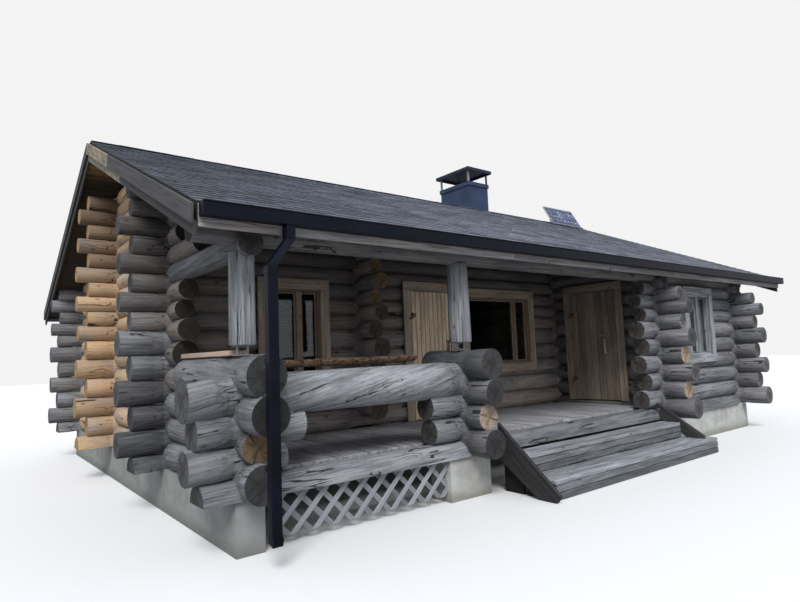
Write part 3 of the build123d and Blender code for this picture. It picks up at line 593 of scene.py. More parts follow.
beams = new_piece()
add_log(beams, "x", 0, EAVE_LOG, 0.103, -0.43, X_RIGHT + 0.43, [], (0.26, 0.25), ROOF_CUTS, None, DARK_END)
ridge_beam_z = RIDGE_Z - ROOF_THICK - 0.085
add_log(beams, "x", RIDGE_Y, ridge_beam_z, 0.09, WALL, X_RIGHT - WALL, [], BROWN, ROOF_CUTS)
print("posts", len(posts.faces), "faces, beams", len(beams.faces), "faces")

# %% [markdown]
# ## Boards
# A board is a block with its edges rounded over a little. It is made from a cube, so its fibres run along X in
# its own coordinates, and its two end faces get the material of sawn ends. The rounding is a bevel of one
# segment: more would not show on edges this thin.

# %% Boards


def round_over(part, offset):
    """Takes the sharpness off all edges."""
    bmesh.ops.bevel(part, geom=part.edges[:], offset=offset, offset_type="OFFSET", segments=1, profile=0.5,
                    affect="EDGES", material=-1)


def board_mesh(size, bevel=0.004):
    """A board around the origin, with its length along X."""
    part = new_piece()
    add_cube(part, Matrix.Identity(4), size)
    for face in part.faces:
        face.material_index = int(abs(face.normal.x) > 0.5)
    if bevel:
        round_over(part, min(bevel, min(size) * 0.3))
    return part


def add_board(target, low, high, tone, along="x", bevel=0.004, spread=0.08, heart=0.06):
    """A board that fills the box from low to high, with its fibres along one axis."""
    low, high = Vector(low), Vector(high)
    extent = high - low
    turn = {"x": ((1, 0, 0), (0, 1, 0)), "y": ((0, 1, 0), (-1, 0, 0)), "z": ((0, 0, 1), (0, 1, 0))}[along]
    place = lay((low + high) / 2, *turn)
    size = [abs(place.to_3x3().col[k].dot(extent)) for k in range(3)]
    part = board_mesh(size, bevel)
    shade = (tone[0] + rng.uniform(-spread, spread), tone[1] + rng.uniform(-spread, spread) * 0.6)
    settle(part, target, shade, rng.uniform(0, 40), (rng.uniform(-heart, heart), heart), place)


def add_row(target, low, high, tone, across, count, along, gap=0.004, **more):
    """A row of boards side by side, split along the axis `across` (0, 1 or 2)."""
    low, high = Vector(low), Vector(high)
    step = (high[across] - low[across]) / count
    for k in range(count):
        a, b = low.copy(), high.copy()
        a[across] = low[across] + k * step + gap / 2
        b[across] = low[across] + (k + 1) * step - gap / 2
        add_board(target, a, b, tone, along, **more)


test = board_mesh((1, 0.1, 0.02))
print("a board has", len(test.faces), "faces")
test.free()

# %% [markdown]
# ## Porch floor and steps
# The deck boards run from the porch's front to the house wall. The two steps are as wide as the way in: each has
# a tread of two planks, a riser behind its edge, and bearers under it.

# %% Deck and steps
PLANK = 0.045
deck = new_piece()
add_row(deck, (0.141, 0.155, DECK - PLANK), (6.449, 1.715, DECK), (0.62, 0.12), 0, 43, "y")

steps = new_piece()
TREAD_TONE, RISER_TONE = (0.46, 0.0), (0.29, 0.0)
RISER = 0.03
STEPS = ((-0.45, 0.20, 0.40), (-0.83, 0.0, 0.20))  # front edge, foot and top of the upper and the lower step
TREADS = ((2.85, 6.225, -0.155), (2.88, 6.465, -0.45))  # left, right, back
RISERS = ((2.86, 6.22), (2.89, 6.46))
BEARER_BACKS = (-0.16, -0.45)
for (left, right, back_edge), (edge, foot, head) in zip(TREADS, STEPS):
    add_row(steps, (left, edge, head - PLANK), (right, back_edge, head), TREAD_TONE, 1, 2, "x", gap=0.01,
            bevel=0.006)
for (left, right), (edge, foot, head) in zip(RISERS, STEPS):
    add_row(steps, (left, edge + 0.002, foot), (right, edge + RISER, head - PLANK - 0.001), RISER_TONE, 2, 2, "x",
            gap=0.007)
# The bearer at the left end is nearly black: painted shade in the hollow under the steps.
for x, bearer_tone in ((2.87, 0.01), (4.0, 0.2), (5.1, 0.2), (6.18, 0.2)):
    for back_edge, (edge, foot, head) in zip(BEARER_BACKS, STEPS):
        add_board(steps, (x, edge + RISER + 0.002, 0), (x + 0.035, back_edge, head - PLANK - 0.002),
                  (bearer_tone, 0.2), "y", spread=0.005)
print("deck", len(deck.faces), "steps", len(steps.faces), "faces")

# %% [markdown]
# The sides of the steps are dark planks that were sawn to the slope; the left one is nearly black. Such a plank is
# drawn as an outline and pushed out to its thickness. Its fibres run along its slanting edge, so its grain is turned
# to match.

# %% Side boards of the steps


def push_out(part, outline, thick):
    """Draws an outline in the Y Z plane and pushes it out along X."""
    face = part.faces.new([part.verts.new((0, y, z)) for y, z in outline])
    grown = bmesh.ops.extrude_face_region(part, geom=[face])["geom"]
    bmesh.ops.translate(part, verts=only(grown, BMVert), vec=(thick, 0, 0))
    bmesh.ops.recalc_face_normals(part, faces=part.faces)


def add_plate(target, outline, x_low, x_high, tone, along=(1, 0)):
    """A plank of any outline, with its fibres along a direction in the Y Z plane."""
    part = new_piece()
    push_out(part, outline, x_high - x_low)
    round_over(part, 0.004)
    seed = rng.uniform(0, 40)
    grain = part.verts.layers.float_vector["grain"]
    colour = part.verts.layers.float_color["tone"]
    run, climb = (n / math.hypot(*along) for n in along)
    for v in part.verts:
        v[grain] = (v.co.y * run + v.co.z * climb + seed, v.co.x + 0.05, v.co.z * run - v.co.y * climb)
        v[colour] = (*tone, seed % 1, 1)
    bmesh.ops.translate(part, verts=part.verts, vec=(x_low, 0, 0))
    add_to(target, part)


cheeks = new_piece()
LEFT_CHEEK = [(-0.155, 0.73), (-0.926, 0.073), (-0.87, 0), (-0.657, 0), (-0.155, 0.35)]
RIGHT_CHEEK = [(0.03, 0.76), (-0.755, 0.24), (-0.755, 0.20), (-0.52, 0.20), (-0.157, 0.44), (-0.157, 0.584),
               (0.03, 0.584)]
add_plate(cheeks, LEFT_CHEEK, 2.80, 2.845, (0.05, 0.15), (0.77, 0.66))
add_plate(cheeks, RIGHT_CHEEK, 6.23, 6.275, (0.08, 0.35), (0.6, 0.42))
print("cheeks", len(cheeks.faces), "faces")

# %% [markdown]
# The open front under the railing is closed by a lattice of thin slats in two layers that cross, nailed to each
# other. Each layer leans the other way. A slat is made too long and sawn off at the frame of the opening.

# %% Lattice
lattice = new_piece()
LEFT, RIGHT, FOOT, HEAD = 0.18, 2.115, 0.07, 0.425
LEAN, SLAT_PITCH = math.radians(45), 0.207
SLAT_SAWS = (
    ((0, 0, HEAD), (0, 0, 1)), ((0, 0, FOOT), (0, 0, -1)),
    ((LEFT, 0, 0), (-1, 0, 0)), ((RIGHT, 0, 0), (1, 0, 0)),
)


def add_slat(x, way, y):
    """One slanting slat, cut off level at its head and foot and upright at the sides."""
    part = board_mesh(((HEAD - FOOT) / math.sin(LEAN) + 0.1, 0.007, 0.049), 0.0015)
    tilt = Matrix.Rotation(-LEAN if way > 0 else LEAN - math.pi, 4, "Y")
    seed = rng.uniform(0, 40)
    # The back layer of slats is darker than the front one: painted shade.
    shade = (0.37 if way > 0 else 0.23) + rng.uniform(-0.05, 0.05)
    mark(part, (shade, 0.12), seed, (0.02, 0.02))
    bmesh.ops.transform(part, matrix=Matrix.Translation((x, y, (HEAD + FOOT) / 2)) @ tilt, verts=part.verts)
    for point, normal in SLAT_SAWS:
        saw(part, point, normal)
    add_to(lattice, part)


for k in range(-3, 10):
    add_slat(0.558 + SLAT_PITCH * k, 1, -0.0722)
    add_slat(0.380 + SLAT_PITCH * k, -1, -0.0642)
print("lattice", len(lattice.faces), "faces")

# %% [markdown]
# A slab with its bark on lies on the railing as a shelf: a rough log that is flattened and sawn in half along its
# length, with the flat side up. A newer sawn plank lies on the low wall.

# %% Slab and plank
shelves = new_piece()
slab = log_mesh(0.20, 1.86, 0.125, 0.105, (), 3.3, rough=0.16)
bmesh.ops.scale(slab, verts=slab.verts, vec=(1, 1, 0.62))
saw(slab, (0, 0, 0), (0, 0, 1))
settle(slab, shelves, (0.42, 0.60), 5.2, (0, 0), Matrix.Translation((0, 0.10, 1.493)))
plank = new_piece()
add_board(plank, (-0.09, 0.10, 1.545), (0.09, 1.30, 1.59), (0.55, 0.30), "y", 0.006, 0.02)
print("slab", len(shelves.faces), "plank", len(plank.faces), "faces")

# %% [markdown]
# ## Doors and windows
# Boards round an opening are easier to place in the wall's own coordinates: u along the wall, v out of it and z
# up. One function for each wall turns them into the house's coordinates, and one more adds a board between two
# opposite corners that are given that way.

# %% Boards of a wall
trim, grey_trim = new_piece(), new_piece()


def in_living(u, v, z):
    """On the porch's back wall."""
    return (u, Y_LIVING - WALL - v, z)


def in_room_front(u, v, z):
    """On the right room's front."""
    return (u, -WALL - v, z)


def in_room_side(u, v, z):
    """On the right room's side, which faces the porch."""
    return (X_ROOM - WALL - v, u, z)


def add_placed(target, place, start, stop, tone, along="z", **more):
    """A board between two opposite corners in the coordinates of a wall."""
    p, q = place(*start), place(*stop)
    low = [min(m, n) for m, n in zip(p, q)]
    high = [max(m, n) for m, n in zip(p, q)]
    add_board(target, low, high, tone, along, **more)


def frame_boards(target, place, opening, heights, wide, depth, tone, foot=True):
    """Three or four boards around an opening, the upper one over the upright ones."""
    (a, b), (low, high) = opening, heights
    near, far = depth
    parts = [
        ((a - wide, near, low), (a, far, high), "z"),
        ((b, near, low), (b + wide, far, high), "z"),
        ((a - wide, near, high), (b + wide, far, high + wide), "u"),
    ]
    if foot:
        parts.append(((a - wide, near, low - wide), (b + wide, far, low), "u"))
    level = "x" if place(1, 0, 0)[0] != place(0, 0, 0)[0] else "y"
    for start, stop, along in parts:
        add_placed(target, place, start, stop, tone, "z" if along == "z" else level, bevel=0.005, spread=0.03)


print("a porch window begins at", in_living(PORCH_WINDOWS[0][0], 0, PORCH_WINDOWS[0][2]))

# %% [markdown]
# Every window has a broad casing on the logs, a fixed frame in the hole, an upright bar and a narrow sash round
# each pane. The boards are dressed apart, so the lines between them are real gaps. The porch windows are brown,
# because the roof keeps the rain off them, and the right room's window is grey.

# %% Windows
CASE, CASE_THICK, LAP = 0.13, 0.025, 0.045
BAR, FRAME_IN, SASH = 0.075, 0.12, 0.014
# Tones of the casing, the frame, the upright bar and the sash.
BROWN_TONES = ((0.50, 0.12), (0.34, 0.70), (0.40, 0.45), (0.55, 0.30))
GREY_TONES = ((0.50, 0.0),) * 4
WINDOWS = (
    (in_living, PORCH_WINDOWS[0], (1.425, 1.507), trim, BROWN_TONES),
    (in_living, PORCH_WINDOWS[1], (5.400, 5.455), trim, BROWN_TONES),
    (in_room_front, ROOM_WINDOW, (7.74, 7.80), grey_trim, GREY_TONES),
)
glazing = new_piece()
for place, (a, b, low, high), bar, piece, (casing_tone, frame_tone, bar_tone, sash_tone) in WINDOWS:
    frame_boards(piece, place, (a + LAP, b - LAP), (low + LAP, high - LAP), CASE, (0, CASE_THICK), casing_tone)
    inside, foot, head = (a + BAR, b - BAR), low + BAR, high - BAR
    frame_boards(piece, place, inside, (foot, head), BAR, (-FRAME_IN, -0.005), frame_tone)
    add_placed(piece, place, (bar[0], -FRAME_IN, foot), (bar[1], -0.012, head), bar_tone, bevel=0.006)
    for left, right in ((inside[0], bar[0]), (bar[1], inside[1])):
        frame_boards(piece, place, (left + SASH, right - SASH), (foot + 0.02, head - 0.02), SASH, (-0.068, -0.045),
                     sash_tone)
        add_placed(glazing, place, (left, -0.078, foot), (right, -0.07, head), (0.5, 0.5), "x", bevel=0)
print("casings and frames", len(trim.faces), "faces")

# %% [markdown]
# The two doorways are lined with thin jambs through the whole wall and have casings like the windows. They have
# no board at the foot, where the threshold of the frame lies.

# %% Doorways
JAMB, JAMB_DEEP = 0.004, 0.25
DOORS = ((in_living, PORCH_DOOR, (0.52, 0.10)), (in_room_side, ROOM_DOOR, (0.42, 0.10)))
for place, (a, b, low, high), tone in DOORS:
    frame_boards(trim, place, (a, b), (low, high), CASE, (0, CASE_THICK), tone, foot=False)
    for edge in (a, b - JAMB):
        add_placed(trim, place, (edge, -JAMB_DEEP, low), (edge + JAMB, 0, high), tone, bevel=0.001)
print("with the doorways", len(trim.faces), "faces")

# %% [markdown]
# A leaf is made of upright planks, like a real plank door. A nearly black board lies behind them as painted shade, so
# the grooves between the planks read as lines. Each leaf rides on a body of its own, so it swings.

# %% Door leaves
LEAF, LEAF_OUT, GROOVE = 0.045, 0.020, 0.007
# BACKING_TONE is painted shade for the grooves.
BACKING_TONE = (0.04, 0.4)
GRIP_HALF, GRIP_FOOT = 0.015, 0.03


def plank_door(place, door, tone, planks, handle_at, handle_z, grip_tone=(0.25, 0.75)):
    """A leaf of upright planks, and an upright wooden handle on two feet."""
    leaf = new_piece()
    a, b, low, high = door[0] + CLEAR, door[1] - CLEAR, door[2] + CLEAR, door[3] - CLEAR
    step = (b - a) / planks
    for k in range(planks):
        left, right = a + k * step + GROOVE / 2, a + (k + 1) * step - GROOVE / 2
        add_placed(leaf, place, (left, LEAF_OUT - LEAF, low), (right, LEAF_OUT, high), tone, bevel=0.006, spread=0.05)
    add_placed(leaf, place, (a + 0.002, LEAF_OUT - LEAF + 0.002, low + 0.002),
               (b - 0.002, LEAF_OUT - 0.008, high - 0.002), BACKING_TONE, bevel=0)
    left, right = handle_at - GRIP_HALF, handle_at + GRIP_HALF
    foot, head = handle_z
    add_placed(leaf, place, (left, LEAF_OUT + 0.022, foot), (right, LEAF_OUT + 0.045, head), grip_tone, bevel=0.008)
    for z in (foot, head - GRIP_FOOT):
        add_placed(leaf, place, (left, LEAF_OUT - 0.002, z), (right, LEAF_OUT + 0.03, z + GRIP_FOOT), grip_tone,
                   bevel=0.008)
    return leaf


porch_leaf = plank_door(in_living, PORCH_DOOR, (0.74, 0.25), 9, 3.862, (1.52, 1.68))
room_leaf = plank_door(in_room_side, ROOM_DOOR, (0.29, 0.15), 7, 0.765, (1.39, 1.62), (0.70, 0.40))
add_placed(room_leaf, in_room_side, (0.670, 0.018, 1.675), (0.880, 0.034, 1.690), (0.50, 0.40), "y", bevel=0.003)
print("leaves", len(porch_leaf.faces), len(room_leaf.faces), "faces")

# %% [markdown]
# Each leaf hangs on two eyes that turn round upright pins. The pins stand on small brackets at the casing, so
# they stay on the house while the eyes ride on the leaf. An eye is a square section that is spun round the hinge
# line. The ironwork is placed from that line: a along the leaf, b into the wall.

# %% Hinges
PIN, BORE, RING, RING_HALF = 0.008, 0.0082, 0.014, 0.028
HINGE_OUT = 0.045
HINGES = {"porch_door": (0.930, 2.045), "room_door": (0.990, 2.060)}
iron = {"pins": bmesh.new(), "porch_door": bmesh.new(), "room_door": bmesh.new()}


def at_hinge(door, a, b):
    """A place in the house, given from the hinge line of a door."""
    if door == "porch_door":
        return (PORCH_DOOR[0] + CLEAR / 2 + a, Y_LIVING - WALL - HINGE_OUT + b)
    return (X_ROOM - WALL - HINGE_OUT + b, ROOM_DOOR[1] - CLEAR / 2 - a)


def add_block(target, door, a, b, z):
    """A block given from the hinge line."""
    (x0, y0), (x1, y1) = at_hinge(door, a[0], b[0]), at_hinge(door, a[1], b[1])
    middle = Matrix.Translation(((x0 + x1) / 2, (y0 + y1) / 2, (z[0] + z[1]) / 2))
    add_cube(target, middle, (abs(x1 - x0), abs(y1 - y0), z[1] - z[0]))


def add_ring(target, door, r_in, r_out, z):
    """A ring round the hinge line, made by spinning its section."""
    x, y = at_hinge(door, 0, 0)
    corners = ((r_in, z[0]), (r_out, z[0]), (r_out, z[1]), (r_in, z[1]))
    section = [target.verts.new((x + r, y, h)) for r, h in corners]
    edges = [target.edges.new((section[k], section[(k + 1) % 4])) for k in range(4)]
    bmesh.ops.spin(target, geom=section + edges, cent=(x, y, 0), axis=(0, 0, 1), angle=2 * math.pi, steps=24,
                   use_merge=True)


for door, heights in HINGES.items():
    for z in heights:
        low, high = z - RING_HALF, z + RING_HALF
        add_block(iron["pins"], door, (-0.045, PIN), (-PIN, 0.020), (low - 0.030, low - 0.005))
        x, y = at_hinge(door, 0, 0)
        pin_low, pin_high = low - 0.005, high + 0.010
        bmesh.ops.create_cone(iron["pins"], cap_ends=True, segments=16, radius1=PIN, radius2=PIN,
                              depth=pin_high - pin_low,
                              matrix=Matrix.Translation((x, y, (pin_high + pin_low) / 2)))
        add_ring(iron[door], door, BORE, RING, (low, high))
        add_block(iron[door], door, (0.004, 0.070), (0.020, 0.025), (low, high))
        add_block(iron[door], door, (0.010, 0.026), (0.008, 0.020), (low, high))
for bm in iron.values():
    bmesh.ops.recalc_face_normals(bm, faces=bm.faces)
print("ironwork", [len(bm.faces) for bm in iron.values()], "faces")

# %% [markdown]
# A curtain hangs behind the window of the right room. A simulated cloth would gather by itself, but behind glass
# only its upright folds show, so a fine grid gets them from two sine waves. The width of the cut cloth is the
# length of that wavy line, which is more than the width that it hangs at.

# %% Curtain
CURTAIN_HUNG, CURTAIN_CUT = 0.66, (0.883, 0.94)
curtain = bmesh.new()
bmesh.ops.create_grid(curtain, x_segments=48, y_segments=2, size=0.5)
bmesh.ops.transform(curtain, verts=curtain.verts,
                    matrix=Matrix.Translation((7.765, 0, 1.80)) @ Matrix.Rotation(math.pi / 2, 4, "X")
                    @ Matrix.Diagonal((CURTAIN_HUNG, CURTAIN_CUT[1], 1, 1)))
for v in curtain.verts:
    v.co.y += 0.018 * math.sin(v.co.x * 75) + 0.006 * math.sin(v.co.x * 31)
print("the folded curtain needs", round(sum(f.calc_area() for f in curtain.faces) / CURTAIN_CUT[1], 3), "m of cloth")
bmesh.ops.solidify(curtain, geom=curtain.faces[:], thickness=0.002)

# %% [markdown]
# ## The roof
# Each slope is a slab: a dark core, boards under it that show at the overhangs, and shingles on top. All three
# are placed on the slope: u along the ridge, v down from the ridge and w out of the roof.

# %% Places on a slope
SLOPES = {"front": (-1, ROOF_FRONT, FRONT_RISE), "back": (1, ROOF_BACK, BACK_RISE)}


def slope_frame(way, rise):
    """The directions down a slope and out of it."""
    down = Vector((0, way, -rise)).normalized()
    normal = Vector((1, 0, 0)).cross(down) * way
    return down, normal


def slope_place(u, v, w, down, normal):
    """A place in the house, given on a slope."""
    return Vector((u, RIDGE_Y, RIDGE_Z)) + down * v + normal * w


def add_slope_block(target, u, v, w, down, normal, tone, bevel=0.0, heart=0.05):
    """A board that lies on the slope: u, v and w are its limits."""
    middle = slope_place((u[0] + u[1]) / 2, (v[0] + v[1]) / 2, (w[0] + w[1]) / 2, down, normal)
    part = board_mesh((u[1] - u[0], v[1] - v[0], w[1] - w[0]), bevel)
    place = lay(middle, (1, 0, 0), down)
    settle(part, target, tone, rng.uniform(0, 40), (rng.uniform(-heart, heart), heart), place)


def roof_top(y):
    """Height of the roof's upper face."""
    return RIDGE_Z - (FRONT_RISE * (RIDGE_Y - y) if y < RIDGE_Y else BACK_RISE * (y - RIDGE_Y))


print("the eaves lie at", round(roof_top(ROOF_FRONT), 2), "and", round(roof_top(ROOF_BACK), 2), "m")

# %% [markdown]
# The core closes the slab and hardly shows. The boards under it are dark at the eave, which is painted shade, and
# fresh below the ridge, where they never get wet. Their shade fades from one to the other, with a little luck for
# each board.

# %% Core and boards under the roof
CORE, LID = 0.15, 0.012  # thickness of the slab, and how deep its core begins
LINING, LINING_FIRST, LINING_PITCH = 0.030, 0.11, 0.098


def core_plate(eave_y, rise):
    """The dark core of a slope."""
    core = new_piece()
    upper = [(RIDGE_Y, RIDGE_Z - LID), (eave_y, RIDGE_Z - rise * abs(eave_y - RIDGE_Y) - LID)]
    outline = upper + [(y, z - CORE + LID) for y, z in reversed(upper)]
    add_plate(core, outline, ROOF_LEFT, ROOF_RIGHT, (0.2, 0.2))
    return core


def lining_boards(way, rise, long):
    """The boards under a slope, from the ridge down."""
    boards = new_piece()
    down, normal = slope_frame(way, rise)
    flat = math.cos(math.atan(rise))
    depth = (CORE + 0.002) * flat
    count = int((long - LINING_FIRST) / LINING_PITCH)
    step = (long - LINING_FIRST) / count
    fresh_share = 0.20 if way < 0 else 0.10
    for k in range(count):
        # Away from the ridge the boards darken into painted shade.
        fresh = max(0, 1 - k / count / fresh_share)
        tone = ((0.03 + 0.60 * fresh) * rng.uniform(0.8, 1.2), 0.3 + 0.6 * fresh)
        v = (LINING_FIRST + k * step - 0.06, LINING_FIRST + (k + 1) * step - 0.064)
        add_slope_block(boards, (ROOF_LEFT + 0.001, ROOF_RIGHT - 0.001), v, (-depth - LINING * flat + 0.004, -depth),
                        down, normal, tone, 0.003)
    return boards


print("about", int((RIDGE_Y - ROOF_FRONT) / LINING_PITCH), "boards to a slope")

# %% [markdown]
# A shingle is a thin tab. The tabs lie in rows that overlap, with narrow slots between them. Each row is set half
# a tab aside, and every tab lifts a little differently, which gives an old roof its restless surface. There are
# thousands of tabs, so each is a plain block of six faces. Folded tabs cover the ridge.

# %% Shingles
TAB, ROW, SLOT = 0.333, 0.145, 0.022
TAB_LONG, TAB_THICK, TAB_LEAN = 0.18, 0.006, 0.045
CAP_STEP, CAP_SIZE = 0.145, (0.17, 0.125, 0.005)
ALONG_SLOPE = 1.09  # length down the slope for one level metre


def add_tab(tabs, place, size, shade, share, seed, y_from=RIDGE_Y):
    """One shingle. Its grain is its place on the slope, so that stains run over many tabs."""
    grain = tabs.verts.layers.float_vector["grain"]
    colour = tabs.verts.layers.float_color["tone"]
    for v in add_cube(tabs, place, size):
        v[grain] = (v.co.x, (v.co.y - y_from) * ALONG_SLOPE, seed)
        v[colour] = (shade, share, seed % 1, 1)


def shingle_rows(way, rise, long):
    """All shingles of a slope, with half of the tabs over the ridge."""
    tabs = new_piece()
    down, normal = slope_frame(way, rise)
    rows = round(long / ROW)
    for row in range(rows):
        low = (row + 1) * long / rows
        start = ROOF_LEFT - TAB / 2 * (row % 2)
        while start < ROOF_RIGHT:
            left, right = max(start, ROOF_LEFT), min(start + TAB, ROOF_RIGHT) - (SLOT if row else 0)
            start += TAB
            if right - left < 0.03:
                continue
            turn = Matrix.Rotation(rng.uniform(-0.006, 0.006), 4, "Z")
            turn = turn @ Matrix.Rotation(rng.uniform(-0.012, 0.006) - TAB_LEAN, 4, "X")
            middle = slope_place((left + right) / 2, low - TAB_LONG / 2 + rng.uniform(-0.004, 0.002), -0.0045, down,
                                 normal)
            shade, seed = 0.5 + rng.uniform(-0.20, 0.20), rng.uniform(0, 40)
            add_tab(tabs, lay(middle, (1, 0, 0), down) @ turn, (right - left, TAB_LONG, TAB_THICK), shade,
                    row / rows, seed)
    lift = Matrix.Rotation(0.02, 4, "Y")
    for k in range(int((ROOF_RIGHT - ROOF_LEFT) / CAP_STEP)):
        middle = slope_place(ROOF_LEFT + CAP_STEP * k + 0.075, 0.062, 0.0005, down, normal)
        add_tab(tabs, lay(middle, (1, 0, 0), down) @ lift, CAP_SIZE, 0.45 + rng.uniform(-0.2, 0.2), 0, k, 0)
    return tabs


roof = {}
for name, (way, eave_y, rise) in SLOPES.items():
    long = abs(eave_y - RIDGE_Y) * math.hypot(1, rise)
    roof[name] = core_plate(eave_y, rise), lining_boards(way, rise, long), shingle_rows(way, rise, long)
    print(name, "slope:", [len(bm.faces) for bm in roof[name]], "faces of core, boards and tabs")

# %% [markdown]
# Two layers of boards close the ends of the roof along its slope, the upper layer over the lower one. Each slope
# has two lengths of board. The lengths at the ridge of the left gable are a piece of their own, because pale drips
# run down them. Level boards close the eaves.

# %% Barge boards and fascias
barges, dripped = new_piece(), new_piece()
BARGE, FASCIA = 0.025, 0.028
BUTT = 0.003  # the joint between two lengths
FASCIA_TONE = (0.53, 0.35)
FASCIA_JOINTS = (ROOF_LEFT, 2.9, 6.6, ROOF_RIGHT)


def add_barge(target, y_from, y_to, top, bottom, x, tone):
    """A slanting board between two places along the gable, pushed out from its outline."""
    outline = [(y_from, roof_top(y_from) - top), (y_to, roof_top(y_to) - top),
               (y_to, roof_top(y_to) - bottom), (y_from, roof_top(y_from) - bottom)]
    slope = FRONT_RISE if y_to <= RIDGE_Y else -BACK_RISE
    add_plate(target, outline, x, x + BARGE, tone, (1, slope))


# Each layer is: front joint, back joint, top and bottom under the roof, shade at the ridge and elsewhere, warmth.
# The lengths at the ridge of the left gable are paler than the rest, which is painted light, and the lower layer is a
# little darker, which is painted shade.
BARGE_LAYERS = ((2.42, 5.2, 0.020, 0.175, 0.26, 0.10, 0.30), (1.9, 5.7, 0.150, 0.265, 0.20, 0.07, 0.25))
for x_lower, x_upper in ((ROOF_LEFT - BARGE, ROOF_LEFT - 2 * BARGE), (ROOF_RIGHT, ROOF_RIGHT + BARGE)):
    for x, layer in zip((x_upper, x_lower), BARGE_LAYERS):
        front_joint, back_joint, top_gap, bottom_gap, bright, dull, warmth = layer
        lengths = ((ROOF_FRONT, front_joint), (front_joint + BUTT, RIDGE_Y), (RIDGE_Y + 0.002, back_joint),
                   (back_joint + BUTT, ROOF_BACK))
        for y_from, y_to in lengths:
            at_ridge = y_to == RIDGE_Y and x_lower < 0
            tone = ((bright if at_ridge else dull) + rng.uniform(-0.02, 0.02), warmth)
            add_barge(dripped if at_ridge else barges, y_from, y_to, top_gap, bottom_gap, x, tone)

fascias = new_piece()
for y, eave_y, tall in ((ROOF_FRONT - FASCIA, ROOF_FRONT, 0.175), (ROOF_BACK, ROOF_BACK, 0.18)):
    high = roof_top(eave_y) - 0.02
    for a, b in zip(FASCIA_JOINTS, FASCIA_JOINTS[1:]):
        add_board(fascias, (a + 0.001, y, high - tall), (b - 0.001, y + FASCIA, high), FASCIA_TONE, "x", 0.003)
print("barge boards", len(barges.faces) + len(dripped.faces), "faces, fascias", len(fascias.faces), "faces")

# %% [markdown]
# The rain pipe is a square tube of folded sheet: a square that is extruded along its bends. Its sides have a
# flat raised band, made by an inset, and its lengths are joined by short sleeves. A shoe at its foot throws the
# water clear of the wall. The gutter is the frame's own, and gets a rolled bead on its front edge.

# %% Rain pipe and gutter bead
PIPE, PIPE_X, PIPE_Y, BEND_Y = 0.075, -0.03, -0.613, -0.4955
PIPE_SLEEVES = (0.72, 1.49, 2.15)
BEAD_R = 0.008
pipe_path = [(PIPE_X, PIPE_Y, 0.225), (PIPE_X, PIPE_Y, 2.19), (0.185, BEND_Y, 2.43), (0.185, BEND_Y, 2.55)]
pipe = bmesh.new()
bmesh.ops.create_circle(pipe, segments=4, radius=PIPE / math.sqrt(2),
                        matrix=Matrix.Translation(pipe_path[0]) @ Matrix.Rotation(math.pi / 4, 4, "Z"))
loop = first_loop = list(pipe.edges)
for here, there in zip(pipe_path, pipe_path[1:]):
    grown = bmesh.ops.extrude_edge_only(pipe, edges=loop)["geom"]
    loop = only(grown, BMEdge)
    bmesh.ops.translate(pipe, verts=only(grown, BMVert), vec=Vector(there) - Vector(here))
sides = list(pipe.faces)
for rim in (first_loop, loop):
    bmesh.ops.edgeloop_fill(pipe, edges=rim)
bmesh.ops.recalc_face_normals(pipe, faces=pipe.faces)
bmesh.ops.inset_individual(pipe, faces=sides, thickness=0.014, depth=0.003)
for z in PIPE_SLEEVES:
    add_cube(pipe, Matrix.Translation((PIPE_X, PIPE_Y, z)), (PIPE + 0.012, PIPE + 0.012, 0.035))
shoe = Matrix.Translation((PIPE_X, PIPE_Y - 0.007, 0.232)) @ Matrix.Rotation(math.radians(15), 4, "X")
add_cube(pipe, shoe, (PIPE + 0.004, PIPE + 0.004, 0.060))

bead = bmesh.new()
BEAD_Y = -0.541
bead_at = ((ROOF_LEFT + ROOF_RIGHT) / 2, BEAD_Y, roof_top(ROOF_FRONT) - 0.022)
bmesh.ops.create_cone(bead, cap_ends=True, segments=10, radius1=BEAD_R, radius2=BEAD_R, depth=ROOF_RIGHT - ROOF_LEFT,
                      matrix=Matrix.Translation(bead_at) @ Matrix.Rotation(math.pi / 2, 4, "Y"))
for face in bead.faces:
    face.smooth = len(face.verts) == 4
print("pipe", len(pipe.faces), "faces")

# %% [markdown]
# Pale straps hold the hood over the chimney. Each wraps a leg of the hood's frame, so it is a little thicker than
# the leg. A folded sheet lies along the ridge beside the shaft, where the rain would run in.

# %% Chimney straps and flashing
straps = bmesh.new()
STRAP, STRAP_X, STRAP_YS = 0.034, 6.715, (3.915, 4.755)
strap_foot, strap_head = 5.12, 5.382
for y in STRAP_YS:
    middle = Matrix.Translation((STRAP_X, y, (strap_foot + strap_head) / 2))
    add_cube(straps, middle, (STRAP, STRAP, strap_head - strap_foot))
flashing = new_piece()
FLASHING_X, FLASHING_DOWN, FLASHING_OUT = (7.285, 7.85), (0.0, 0.14), (0.002, 0.042)
add_slope_block(flashing, FLASHING_X, FLASHING_DOWN, FLASHING_OUT, *slope_frame(1, BACK_RISE), (0.5, 0.0), 0.004)
print("straps and flashing", len(straps.faces) + len(flashing.faces), "faces")

# %% [markdown]
# ## Solar panel
# A thin framed panel leans back over the ridge on two legs. Its face is a grid of dark cells with pale lines
# between them. A pattern in the material would do from afar, but cutting the face by loops and insetting each
# square gives the lines a true width.

